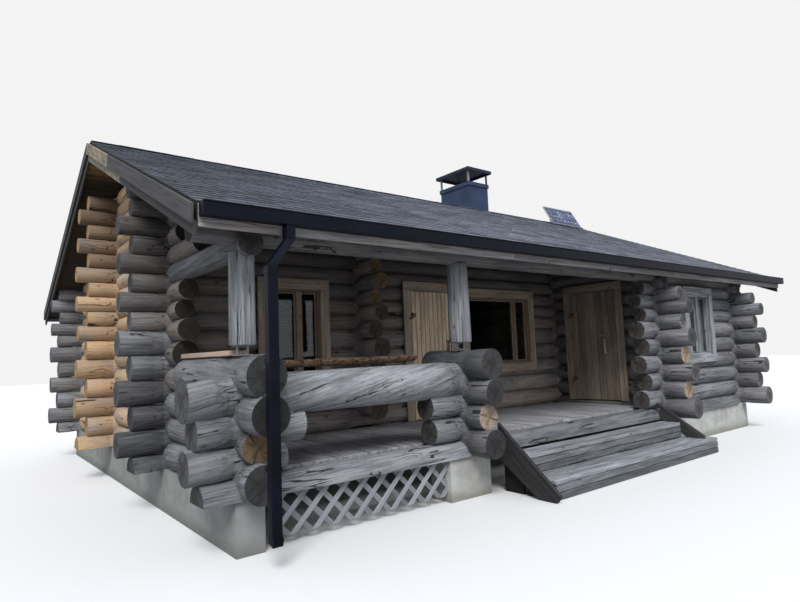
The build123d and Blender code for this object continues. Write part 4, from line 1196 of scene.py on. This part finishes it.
# %% Solar panel
panel = bmesh.new()
PANEL_X, PANEL_LONG, PANEL_THICK, PANEL_TILT = (9.01, 10.09), 0.529, 0.035, math.radians(59.3)
CELL_CUTS = ((0, 8), (1, 3))  # along each side of the panel
CELL_FACE, LINE_FACE = 1, 2
RIM, RIM_HIGH, LINE_HALF = 0.022, 0.006, 0.004
LEG = 0.03
panel_y = RIDGE_Y - 0.16
panel_foot = Vector((0, panel_y, roof_top(panel_y) + 0.011))
up = Vector((0, math.cos(PANEL_TILT), math.sin(PANEL_TILT)))
out = Vector((0, -math.sin(PANEL_TILT), math.cos(PANEL_TILT)))
middle = panel_foot + up * PANEL_LONG / 2 + out * PANEL_THICK / 2 + Vector((sum(PANEL_X) / 2, 0, 0))
add_cube(panel, Matrix.Identity(4), (PANEL_X[1] - PANEL_X[0], PANEL_LONG, PANEL_THICK))
front_face = max(panel.faces, key=lambda f: f.normal.z)
bmesh.ops.inset_region(panel, faces=[front_face], thickness=RIM, depth=-RIM_HIGH)
front_face.material_index = LINE_FACE
for axis, cuts in CELL_CUTS:
    across = [e for e in panel.edges if any(f.material_index == LINE_FACE for f in e.link_faces)
              and abs((e.verts[0].co - e.verts[1].co)[1 - axis]) < 0.001]
    bmesh.ops.subdivide_edges(panel, edges=across, cuts=cuts, use_grid_fill=True)
squares = [f for f in panel.faces if f.material_index == LINE_FACE and f.normal.z > 0.9]
bmesh.ops.inset_individual(panel, faces=squares, thickness=LINE_HALF, depth=0)
for face in squares:
    face.material_index = CELL_FACE
bmesh.ops.transform(panel, matrix=lay(middle, (1, 0, 0), up), verts=panel.verts)

rest_at = panel_foot + up * PANEL_LONG * 0.7 + out * PANEL_THICK / 2
toe, heel = RIDGE_Y - 0.10, RIDGE_Y + 0.03
leg_outline = [(toe, roof_top(toe)), (RIDGE_Y, RIDGE_Z), (heel, roof_top(heel)), (rest_at.y + LEG, rest_at.z),
               (rest_at.y, rest_at.z)]
for x in (PANEL_X[0] + 0.15, PANEL_X[1] - 0.18):
    leg = bmesh.new()
    push_out(leg, leg_outline, LEG)
    bmesh.ops.translate(leg, verts=leg.verts, vec=(x, 0, 0))
    add_to(panel, leg)
print("panel", len(panel.faces), "faces, with", len(squares), "cells")

# %% [markdown]
# ## Finishes
# Every surface is a tree of shader nodes, and no image is used. A tree that is written out node by node is long
# and hard to read, so a small class places and joins nodes in one line each. A bump turns a height into a relief
# on the shader.

# %% Short ways to join nodes


class Nodes:
    """Short ways to place and join shader nodes in one tree."""

    def __init__(self, tree):
        self.tree = tree

    def add(self, kind, **settings):
        node = self.tree.nodes.new(kind)
        for name, value in settings.items():
            setattr(node, name, value)
        return node

    def put(self, socket, value):
        if isinstance(value, bpy.types.NodeSocket):
            self.tree.links.new(value, socket)
        else:
            socket.default_value = value

    def math(self, operation, a, b=0.0, c=0.0):
        node = self.add("ShaderNodeMath", operation=operation)
        for socket, value in zip(node.inputs, (a, b, c)):
            self.put(socket, value)
        return node.outputs[0]

    def vector(self, operation, a, b=(0, 0, 0)):
        node = self.add("ShaderNodeVectorMath", operation=operation)
        self.put(node.inputs[0], a)
        self.put(node.inputs[1], b)
        return node.outputs["Value" if operation == "LENGTH" else "Vector"]

    def scaled(self, vector, factors):
        return self.vector("MULTIPLY", vector, factors)

    def noise(self, vector, scale, detail=2.0, rough=0.5):
        node = self.add("ShaderNodeTexNoise")
        self.put(node.inputs["Vector"], vector)
        for name, number in (("Scale", scale), ("Detail", detail), ("Roughness", rough)):
            node.inputs[name].default_value = number
        return node.outputs["Fac"]

    def stretched(self, vector, factors, detail=2.0, rough=0.5):
        """Noise with a scale of its own along each axis."""
        return self.noise(self.scaled(vector, factors), 1.0, detail, rough)

    def cells(self, vector, scale=1.0, **settings):
        node = self.add("ShaderNodeTexVoronoi", **settings)
        self.put(node.inputs["Vector"], vector)
        node.inputs["Scale"].default_value = scale
        return node.outputs

    def split(self, value, kind="Color"):
        """The three parts of a colour, or of a vector where kind is XYZ."""
        node = self.add("ShaderNodeSeparate" + kind)
        self.put(node.inputs[0], value)
        return node.outputs

    def ramp(self, value, low, high, to_low=0.0, to_high=1.0):
        node = self.add("ShaderNodeMapRange", interpolation_type="SMOOTHSTEP")
        self.put(node.inputs["Value"], value)
        for name, number in (("From Min", low), ("From Max", high), ("To Min", to_low), ("To Max", to_high)):
            node.inputs[name].default_value = number
        return node.outputs["Result"]

    def mix(self, factor, a, b):
        node = self.add("ShaderNodeMix", data_type="RGBA", blend_type="MIX")
        for name, value in (("Factor", factor), ("A", a), ("B", b)):
            self.put(node.inputs[name], value)
        return node.outputs["Result"]

    def brighten(self, colour, factor):
        node = self.add("ShaderNodeHueSaturation")
        self.put(node.inputs["Color"], colour)
        self.put(node.inputs["Value"], factor)
        return node.outputs[0]

    def emboss(self, shader, height, strength, distance):
        """A relief from a height, on the shader."""
        node = self.add("ShaderNodeBump")
        node.inputs["Strength"].default_value = strength
        node.inputs["Distance"].default_value = distance
        self.put(node.inputs["Height"], height)
        self.put(shader.inputs["Normal"], node.outputs[0])


print("ways to join nodes:", [name for name in vars(Nodes) if name[0] != "_"])

# %% [markdown]
# ## Wood
# Weathered wood is one effect with many shades. A node group reads the attribute `grain` and puts out five
# masks: fine fibres, drying cracks, flecks with a knot here and there, large blotches and a height for the
# relief. A crack is the edge between two cells that run along the whole log. A slow noise bends it, and another
# one decides where it opens and how far, so it tapers to a point. Because the pattern is fixed to the grain, it
# runs along every log and board.

# %% Node group of wood fibres
CRACK_WIDTH, KNOT_DARK = 0.042, 1.4


def new_group(name, ins, outs):
    """An empty node group with its sockets: (name, type) pairs."""
    tree = bpy.data.node_groups.new(name, "ShaderNodeTree")
    for way, sockets in (("INPUT", ins), ("OUTPUT", outs)):
        for socket_name, kind in sockets:
            tree.interface.new_socket(name=socket_name, in_out=way, socket_type="NodeSocket" + kind)
    nodes = Nodes(tree)
    return tree, nodes, nodes.add("NodeGroupInput").outputs, nodes.add("NodeGroupOutput").inputs


fibre, n, given, result = new_group("wood_fibre", [("Grain", "Vector")],
                                    [(name, "Float") for name in ("Fibre", "Crack", "Fleck", "Blotch", "Height")])
grain = given["Grain"]
fine = n.stretched(grain, (3.5, 70, 70), 4.0, 0.6)
streaks = n.stretched(grain, (1.7, 30, 30), 3.0, 0.6)
bands = n.stretched(grain, (1.3, 10, 10))
mixed = n.math("ADD", n.math("MULTIPLY", fine, 0.35), n.math("MULTIPLY", streaks, 0.40))
n.put(result["Fibre"], n.math("ADD", mixed, n.math("MULTIPLY", bands, 0.25)))

bend = n.math("MULTIPLY", n.stretched(grain, (1.6, 4, 4)), 1.2)
checks = n.cells(n.vector("ADD", n.scaled(grain, (0, 19, 19)), bend), feature="DISTANCE_TO_EDGE")
opening = n.ramp(n.stretched(grain, (2.2, 9, 9)), 0.46, 0.70)
crack = n.math("LESS_THAN", checks["Distance"], n.math("MULTIPLY", opening, CRACK_WIDTH))
n.put(result["Crack"], crack)

dashes = n.ramp(n.stretched(grain, (14, 150, 150), 3.0, 0.6), 0.56, 0.70)
knot = n.ramp(n.cells(n.scaled(grain, (3.5, 6, 6)))["Distance"], 0.07, 0.13, 1.0, 0.0)
n.put(result["Fleck"], n.math("MAXIMUM", dashes, n.math("MULTIPLY", knot, KNOT_DARK)))
n.put(result["Blotch"], n.stretched(grain, (1.1, 3, 3), 3.0, 0.55))
n.put(result["Height"], n.math("SUBTRACT", n.math("MULTIPLY", fine, 0.35), crack))
print(fibre.name, "has", len(fibre.nodes), "nodes")

# %% [markdown]
# The sawn end of a log shows rings round its heart. The distance from the heart, bent a little by noise, goes
# through a sine. Its cracks start at the heart and run outwards: noise that depends only on the direction, so
# each is straight, with the part's seed to make every end different.

# %% Node group of the sawn end
RINGS_PER_METRE = 900
rings, n, given, result = new_group("end_grain", [("Grain", "Vector"), ("Seed", "Float")],
                                    [("Ring", "Float"), ("Crack", "Float"), ("Heart", "Float")])
grain = given["Grain"]
flat = n.scaled(grain, (0, 1, 1))
warp = n.math("MULTIPLY", n.stretched(grain, (0.3, 9, 9), 1.0), 0.03)
radius = n.math("ADD", n.vector("LENGTH", flat), warp)
n.put(result["Ring"], n.math("SINE", n.math("MULTIPLY", radius, RINGS_PER_METRE)))
n.put(result["Heart"], n.ramp(radius, 0.05, 0.11, 1.0, 0.0))
direction = n.scaled(n.vector("NORMALIZE", flat), (0, 2.6, 2.6))
star = n.noise(n.vector("ADD", direction, n.math("MULTIPLY", given["Seed"], 17.0)), 1.0)
split = n.ramp(n.math("ABSOLUTE", n.math("SUBTRACT", star, 0.5)), 0.004, 0.016, 1.0, 0.0)
n.put(result["Crack"], n.math("MULTIPLY", split, n.ramp(radius, 0.008, 0.02)))
print(rings.name, "has", len(rings.nodes), "nodes")

# %% [markdown]
# Colours are written in their usual hexadecimal code, because that is how they are read off a photograph, and
# are turned into the linear values that shaders use. Each material reads the shade, the warmth and the seed of
# its part from the attribute `tone`.

# %% Colours and parts


def colour(code):
    """A colour from its usual hexadecimal code, in linear values."""
    parts = [int(code[k:k + 2], 16) / 255 for k in (0, 2, 4)]
    return (*(c / 12.92 if c < 0.04045 else ((c + 0.055) / 1.055) ** 2.4 for c in parts), 1)


def new_material(name, rough=0.8, **inputs):
    """A material with its nodes and its shader; inputs are named with _ for a space."""
    material = bpy.data.materials.new(name)
    material.use_nodes = True
    shader = material.node_tree.nodes["Principled BSDF"]
    shader.inputs["Roughness"].default_value = rough
    for socket, value in inputs.items():
        shader.inputs[socket.replace("_", " ")].default_value = value
    return material, Nodes(material.node_tree), shader


def read_part(n):
    """The grain of a part, and its tone: shade, warmth and seed."""
    grain = n.add("ShaderNodeAttribute", attribute_name="grain").outputs["Vector"]
    tone = n.add("ShaderNodeAttribute", attribute_name="tone").outputs["Color"]
    return grain, *n.split(tone)[:3]


print("middle grey is", round(colour("808080")[0], 3), "in linear values")

# %% [markdown]
# A kind of wood is four colours: the silver of weathered wood, its dark hollows, the warm wood under it, and the
# black of a crack. The tone of each part moves it between them, so no two logs are alike. On some boards pale
# drips run down, which is noise that is stretched across the grain.

# %% Wood along its fibres


def wood(name, light, dark, warm, crack="0d0b0a", bump=0.35, crack_share=1.0, fleck_share=0.5, drip=None):
    """Wood seen along its fibres."""
    material, n, shader = new_material(name, 0.82)
    grain, shade, warmth, _ = read_part(n)
    group = n.add("ShaderNodeGroup", node_tree=fibre)
    n.put(group.inputs["Grain"], grain)
    masks = group.outputs
    base = n.mix(n.ramp(masks["Fibre"], 0.37, 0.63), colour(dark), colour(light))
    warm_share = n.math("MULTIPLY", warmth, n.ramp(masks["Blotch"], 0.30, 0.60, 0.55, 1.0))
    base = n.mix(warm_share, base, n.mix(masks["Fibre"], colour(dark), colour(warm)))
    if drip:
        base = n.mix(n.ramp(n.stretched(grain, (34, 0, 5), 3.0, 0.6), 0.50, 0.55), base, colour(drip))
    lift = n.math("ADD", n.math("MULTIPLY", masks["Blotch"], 0.9), 0.55)
    base = n.brighten(base, n.math("MULTIPLY", n.math("MULTIPLY", shade, 2.0), lift))
    for mask, share in (("Fleck", fleck_share), ("Crack", crack_share)):
        base = n.mix(n.math("MULTIPLY", masks[mask], share), base, colour(crack))
    n.put(shader.inputs["Base Color"], base)
    n.emboss(shader, masks["Height"], bump, 0.01)
    return material


print("wood reads", [socket.name for socket in fibre.interface.items_tree if socket.in_out == "OUTPUT"])

# %% [markdown]
# A sawn end is the sapwood's colour with a darker heart, and the fresh wood shows where a part is warm. Rings,
# stains and cracks darken it.

# %% Sawn ends


def sawn(name, sap, heart, fresh, dark="16110d"):
    """The sawn end of a log, with its year rings and the cracks that start at the heart."""
    material, n, shader = new_material(name, 0.85)
    grain, shade, warmth, seed = read_part(n)
    group = n.add("ShaderNodeGroup", node_tree=rings)
    n.put(group.inputs["Grain"], grain)
    n.put(group.inputs["Seed"], seed)
    ring, crack = group.outputs["Ring"], group.outputs["Crack"]
    base = n.mix(group.outputs["Heart"], colour(sap), colour(heart))
    base = n.mix(n.ramp(warmth, 0.35, 0.95), base, colour(fresh))
    base = n.mix(n.ramp(ring, -1.0, 1.0, 0.0, 0.25), base, colour(dark))
    stain = n.stretched(grain, (0, 20, 20), 4.0, 0.7)
    base = n.mix(n.ramp(stain, 0.42, 0.66, 0.0, 0.5), base, colour(dark))
    base = n.brighten(base, n.math("MULTIPLY", shade, 2.0))
    n.put(shader.inputs["Base Color"], n.mix(crack, base, colour(dark)))
    n.emboss(shader, n.math("SUBTRACT", n.math("MULTIPLY", ring, 0.2), crack), 0.3, 0.004)
    return material


print("sawn ends read", [socket.name for socket in rings.interface.items_tree if socket.in_out == "OUTPUT"])

# %% [markdown]
# These are the wooden surfaces of the cabin, with the painted lattice among them. The logs crack most, the boards
# less, and the doors least of all.

# %% Kinds of wood
log_wood = wood("weathered_logs", "aeb0b5", "74767c", "cca062", crack_share=0.9, fleck_share=0.4)
log_end = sawn("log_ends", "a6a6aa", "86827e", "cba368")
board_wood = wood("weathered_boards", "a7aab0", "6a6c71", "a8805a", bump=0.25, crack_share=0.6, fleck_share=0.35)
pine_wood = wood("honey_boards", "d0b083", "a8824f", "c58f4e", bump=0.15, crack_share=0.2, fleck_share=0.15)
frame_wood = wood("window_frames", "b9aa9b", "8f8070", "9c6648", bump=0.2, crack_share=0.4, fleck_share=0.35)
door_wood = wood("door_planks", "cfbea6", "ab9880", "b0946c", bump=0.15, crack_share=0.25, fleck_share=0.2)
drip_wood = wood("dripped_boards", "a4a4a4", "6a6662", "a8805a", bump=0.25, drip="f4e2ba")
fresh_wood = wood("fresh_plank", "c9b3a2", "a48d7e", "bb947c", bump=0.15, crack_share=0.2, fleck_share=0.2)
slat_paint = wood("slat_paint", "c2c4cb", "a6a8b0", "b0a898", bump=0.1, crack_share=0.1, fleck_share=0.2)
print("wooden surfaces; materials so far", len(bpy.data.materials))

# %% [markdown]
# ## Sheet, paint and glass
# The gutter, the pipe and the chimney are painted sheet. Such a surface is nearly one colour, and what makes it
# look real is a soft change of brightness and the right gloss. The same function makes zinc, steel and cloth.

# %% Painted sheet, metal and cloth


def plain(name, code, rough, metallic=0.0, spread=0.15, **inputs):
    """A plain surface with soft stains over it."""
    material, n, shader = new_material(name, rough, **inputs)
    shader.inputs["Metallic"].default_value = metallic
    stain = n.noise(n.add("ShaderNodeTexCoord").outputs["Object"], 3.0, 5.0, 0.6)
    n.put(shader.inputs["Base Color"], n.brighten(colour(code), n.ramp(stain, 0.3, 0.7, 1 - spread, 1 + spread)))
    return material


black_sheet = plain("black_sheet", "080b18", 0.42, spread=0.25, Specular_IOR_Level=0.15)
hood_sheet = plain("hood_sheet", "24263f", 0.5, spread=0.2, Specular_IOR_Level=0.2)
blue_sheet = plain("blue_grey_sheet", "303e58", 0.5, spread=0.2, Specular_IOR_Level=0.2)
zinc = plain("zinc", "8d8f92", 0.45, 0.6)
silver = plain("silver_frame", "c3c5c8", 0.35, 0.9, spread=0.05)
curtain_cloth = plain("curtain_cloth", "d9d6cf", 0.9, spread=0.06)
steel = plain("worn_steel", "6a5648", 0.6, 0.3)
backing = plain("panel_backing", "aab2bf", 0.3, spread=0.05)
dark_gap = new_material("dark_core", 0.9, Base_Color=colour("1c1a18"))[0]
print("painted sheet, metal and cloth; materials so far", len(bpy.data.materials))

# %% [markdown]
# Solar cells are slices of silicon crystal, so their blue is broken into grains. The cells of a Voronoi texture
# give each grain a colour of its own.

# %% Solar cells
cells, n, shader = new_material("solar_cells", 0.3, Specular_IOR_Level=0.3)
crystal = n.cells(n.add("ShaderNodeTexCoord").outputs["Object"], 28)
dark_share, bright_share, _ = n.split(crystal["Color"])[:3]
base = n.mix(n.ramp(dark_share, 0.35, 0.75), colour("0a1228"), colour("2a4070"))
n.put(shader.inputs["Base Color"], n.mix(n.ramp(bright_share, 0.84, 0.94), base, colour("8fa3c4")))
print(cells.name, "has", len(cells.node_tree.nodes), "nodes")

# %% [markdown]
# The plinth is painted concrete. Rain runs down it in streaks, which is noise that is stretched upwards, and mud
# splashes on its foot, which depends on the height. Its left end stands in the shade of the gable and is darker.

# %% Painted concrete
plinth_paint, n, shader = new_material("painted_concrete", 0.9)
place = n.add("ShaderNodeTexCoord").outputs["Object"]
x, _, z = n.split(place, "XYZ")[:3]
stain = n.noise(place, 3.5, 5.0, 0.65)
streak = n.stretched(place, (9, 9, 0.8), 3.0, 0.6)
base = n.mix(n.ramp(stain, 0.35, 0.7), colour("c4c5c2"), colour("a6a59f"))
base = n.mix(n.ramp(streak, 0.55, 0.80, 0.0, 0.35), base, colour("8b8a80"))
splash = n.math("ADD", z, n.math("MULTIPLY", n.math("SUBTRACT", stain, 0.5), 0.35))
base = n.mix(n.ramp(splash, 0.0, 0.14, 0.6, 0.0), base, colour("6c6a58"))
base = n.mix(n.ramp(x, 0.0, 0.5, 0.55, 0.0), base, colour("5c5e60"))
n.put(shader.inputs["Base Color"], base)
print(plinth_paint.name, "has", len(plinth_paint.node_tree.nodes), "nodes")

# %% [markdown]
# Shingles are felt with grit pressed into it. Each tab has its own shade, worn patches run over many tabs, and the
# fine grit gives sparkle and relief. Towards the left gable the roof is darker, which is painted shade.

# %% Shingle felt
slate, n, shader = new_material("shingles", 0.88)
grain, shade, _, _ = read_part(n)
worn = n.stretched(grain, (14, 14, 14), 4.0, 0.6)
grit = n.stretched(grain, (260, 260, 260), 2.0, 0.6)
mixed = n.math("ADD", n.math("MULTIPLY", worn, 0.6), n.math("MULTIPLY", shade, 0.5))
base = n.mix(n.ramp(mixed, 0.32, 0.78), colour("373b44"), colour("7e828f"))
base = n.mix(n.ramp(grit, 0.55, 0.75, 0.0, 0.4), base, colour("9296a0"))
# Painted shade: the roof darkens towards the left gable.
base = n.mix(n.ramp(n.split(grain, "XYZ")["X"], -0.5, 4.5, 0.55, 0.0), base, colour("20242f"))
n.put(shader.inputs["Base Color"], base)
n.emboss(shader, grit, 0.25, 0.004)
print(slate.name, "has", len(slate.node_tree.nodes), "nodes")

# %% [markdown]
# Bark is scales with paler flakes on them and a strong relief. The glass is clear and hardly tinted: what shows in
# it is the room behind it and the pale surroundings.

# %% Bark and glass
bark, n, shader = new_material("bark", 0.9)
grain = read_part(n)[0]
scales = n.stretched(grain, (22, 40, 40), 4.0, 0.65)
base = n.mix(n.ramp(scales, 0.38, 0.62), colour("2e201a"), colour("84654a"))
flakes = n.ramp(n.stretched(grain, (60, 90, 90)), 0.55, 0.7, 0.0, 0.8)
n.put(shader.inputs["Base Color"], n.mix(flakes, base, colour("a4917d")))
n.emboss(shader, scales, 0.8, 0.01)
glass = new_material("window_glass", 0.02, Base_Color=(0.60, 0.64, 0.66, 1), Transmission_Weight=1.0)[0]
print("materials", len(bpy.data.materials))

# %% [markdown]
# ## Putting the pieces in the scene
# Each bmesh becomes an object that rides on a body, and stands for the nodes of the frame that it covers. The
# pieces of logs come first. They share two materials, one along the fibres and one for the sawn ends.

# %% Pieces of logs
LOG_PIECES = (
    (back, "back_logs", "log_grey", "back_wall"),
    (living, "living_logs", "log_brown", "living_wall_left", "living_wall_right", "living_wall_over_door"),
    (front, "room_front_logs", "log_grey", "room_front_wall"),
    (cross, "cross_logs", "log_honey", "gable_cross_logs"),
    (left_gable, "left_gable_logs", "log_grey", "left_gable_wall"),
    (right_gable, "right_gable_logs", "log_grey", "right_gable_wall"),
    (room_side, "room_side_logs", "log_brown", "room_side_front", "room_side_back", "room_side_over_door"),
    (partition, "partition_logs", "log_brown", "partition_log_ends"),
    (railing, "railing_logs", "log_grey", "porch_rail_log", "porch_rail_stubs", "porch_sill_log", "rail_end_stack",
     "low_wall_top_log"),
    (posts, "post_logs", "log_grey", "porch_posts"),
    (beams, "beam_logs", "log_brown", "eave_log", "ridge_log"),
)
for bm, name, slot, *nodes in LOG_PIECES:
    finish_piece(bm, name, [log_wood, log_end], nodes=nodes)

# %% [markdown]
# Boards have a second material slot for their ends too, because their mesh names it, but here both slots hold
# the same wood: an end as thin as this shows no rings.

# %% Pieces of boards
BOARD_PIECES = (
    (deck, "deck_boards", board_wood, "board_grey", "porch_deck"),
    (steps, "step_boards", board_wood, "board_grey", "upper_step", "lower_step"),
    (cheeks, "step_sides", board_wood, "dark_board", "cheek_boards"),
    (lattice, "lattice_slats", slat_paint, "lattice_paint", "lattice"),
    (shelves, "bark_slab", bark, "board_grey", "shelf_planks"),
    (plank, "low_wall_plank", fresh_wood, "board_grey", "shelf_planks"),
    (trim, "frames_and_casings", frame_wood, "frame_wood", "porch_windows", "door_casings"),
    (grey_trim, "room_window_frame", board_wood, "frame_wood", "window_room"),
    (glazing, "glass_panes", glass, "glass", "window_glass"),
)
for bm, name, finish, slot, *nodes in BOARD_PIECES:
    finish_piece(bm, name, [finish] * 2, nodes=nodes)
ROOF_KINDS = (
    ("_roof_core", dark_gap, "dark_board"),
    ("_soffit", pine_wood, "board_grey"),
    ("_shingles", slate, "roofing"),
)
for name, slope_pieces in roof.items():
    for bm, (ending, finish, slot) in zip(slope_pieces, ROOF_KINDS):
        finish_piece(bm, name + ending, [finish] * 2, nodes=["roof_" + name + "_slope"])
ROOF_BOARDS = (
    (barges, "barge_planks", board_wood, "barge_boards"),
    (dripped, "ridge_planks", drip_wood, "barge_boards"),
    (fascias, "fascia_boards", board_wood, "fascias"),
)
for bm, name, finish, node in ROOF_BOARDS:
    finish_piece(bm, name, [finish] * 2, nodes=[node])

# %% [markdown]
# The leaves and their eyes ride on the bodies of the doors, and all the rest rides on the house. Straps, flashing,
# bead and curtain stand for no node, because they only add to the frame. The curtain is cloth.

# %% Panel, doors, metal and curtain
PORCH_LEAF, ROOM_LEAF = "porch_door_leaf", "room_door_leaf"
finish_piece(panel, "sun_panel", [silver, cells, backing], nodes=["solar_panel"])
finish_piece(porch_leaf, "porch_leaf", [door_wood] * 2, PORCH_LEAF, ["porch_door"])
finish_piece(room_leaf, "room_leaf", [frame_wood] * 2, ROOM_LEAF, ["room_door"])
finish_piece(iron["pins"], "hinge_pins", [steel], nodes=["door_casings"])
finish_piece(iron["porch_door"], "porch_leaf_eyes", [steel], PORCH_LEAF, ["porch_door"])
finish_piece(iron["room_door"], "room_leaf_eyes", [steel], ROOM_LEAF, ["room_door"])
room_curtain = finish_piece(curtain, "room_curtain", [curtain_cloth])
finish_piece(straps, "hood_straps", [zinc])
finish_piece(flashing, "ridge_flashing", [black_sheet] * 2)
finish_piece(pipe, "rain_pipe", [black_sheet], nodes=["downspout"])
finish_piece(bead, "gutter_bead", [black_sheet])

# %% [markdown]
# Some nodes of the frame already have the right shape. They only get a better finish, in the material slots of
# their own objects.

# %% Frame nodes that keep their shape
kept = {"plinth": plinth_paint, "thresholds": board_wood, "indoor_floor": board_wood, "screw_jacks": zinc,
        "gutter": black_sheet, "chimney": blue_sheet, "chimney_hood": hood_sheet}
for node, material in kept.items():
    for slot in bpy.data.objects[node].material_slots:
        slot.material = material
print("new finish on", sorted(kept))

# %% [markdown]
# ## Floor and light
# A pale floor and a soft light from the front left, as in a studio. The white behind the cabin is only for the
# camera: the world's light on the cabin stays grey.

# %% Stage
FLOOR_HALF = 60
mesh = bpy.data.meshes.new("floor")
ground = bmesh.new()
bmesh.ops.create_grid(ground, x_segments=1, y_segments=1, size=FLOOR_HALF)
ground.to_mesh(mesh)
ground.free()
floor = bpy.data.objects.new("floor", mesh)
bpy.context.scene.collection.objects.link(floor)
pale, n, shader = new_material("pale_floor", 0.9)
seen = n.add("ShaderNodeLightPath").outputs["Is Camera Ray"]
n.put(shader.inputs["Base Color"], n.mix(seen, (0.30, 0.30, 0.30, 1), (0.86, 0.86, 0.86, 1)))
mesh.materials.append(pale)

sun_data = bpy.data.lights.new("sun", "SUN")
sun_data.energy = 2.4
sun_data.angle = math.radians(25)
sun = bpy.data.objects.new("sun", sun_data)
bpy.context.scene.collection.objects.link(sun)
sun.rotation_euler = Vector((0.75, 1.0, -1.25)).to_track_quat("-Z", "Y").to_euler()

world = bpy.data.worlds.new("studio")
bpy.context.scene.world = world
world.use_nodes = True
n = Nodes(world.node_tree)
background = world.node_tree.nodes["Background"]
path = n.add("ShaderNodeLightPath")
seen = n.math("MAXIMUM", path.outputs["Is Camera Ray"], path.outputs["Is Transmission Ray"])
n.put(background.inputs["Color"], n.mix(seen, (0.80, 0.84, 0.90, 1), (1, 1, 1, 1)))
background.inputs["Strength"].default_value = 0.9
print("the sun's strength is", sun_data.energy)

# %% [markdown]
# ## The end
# The colours are shown as they are written.

# %% Finish
bpy.context.scene.view_settings.view_transform = "Standard"
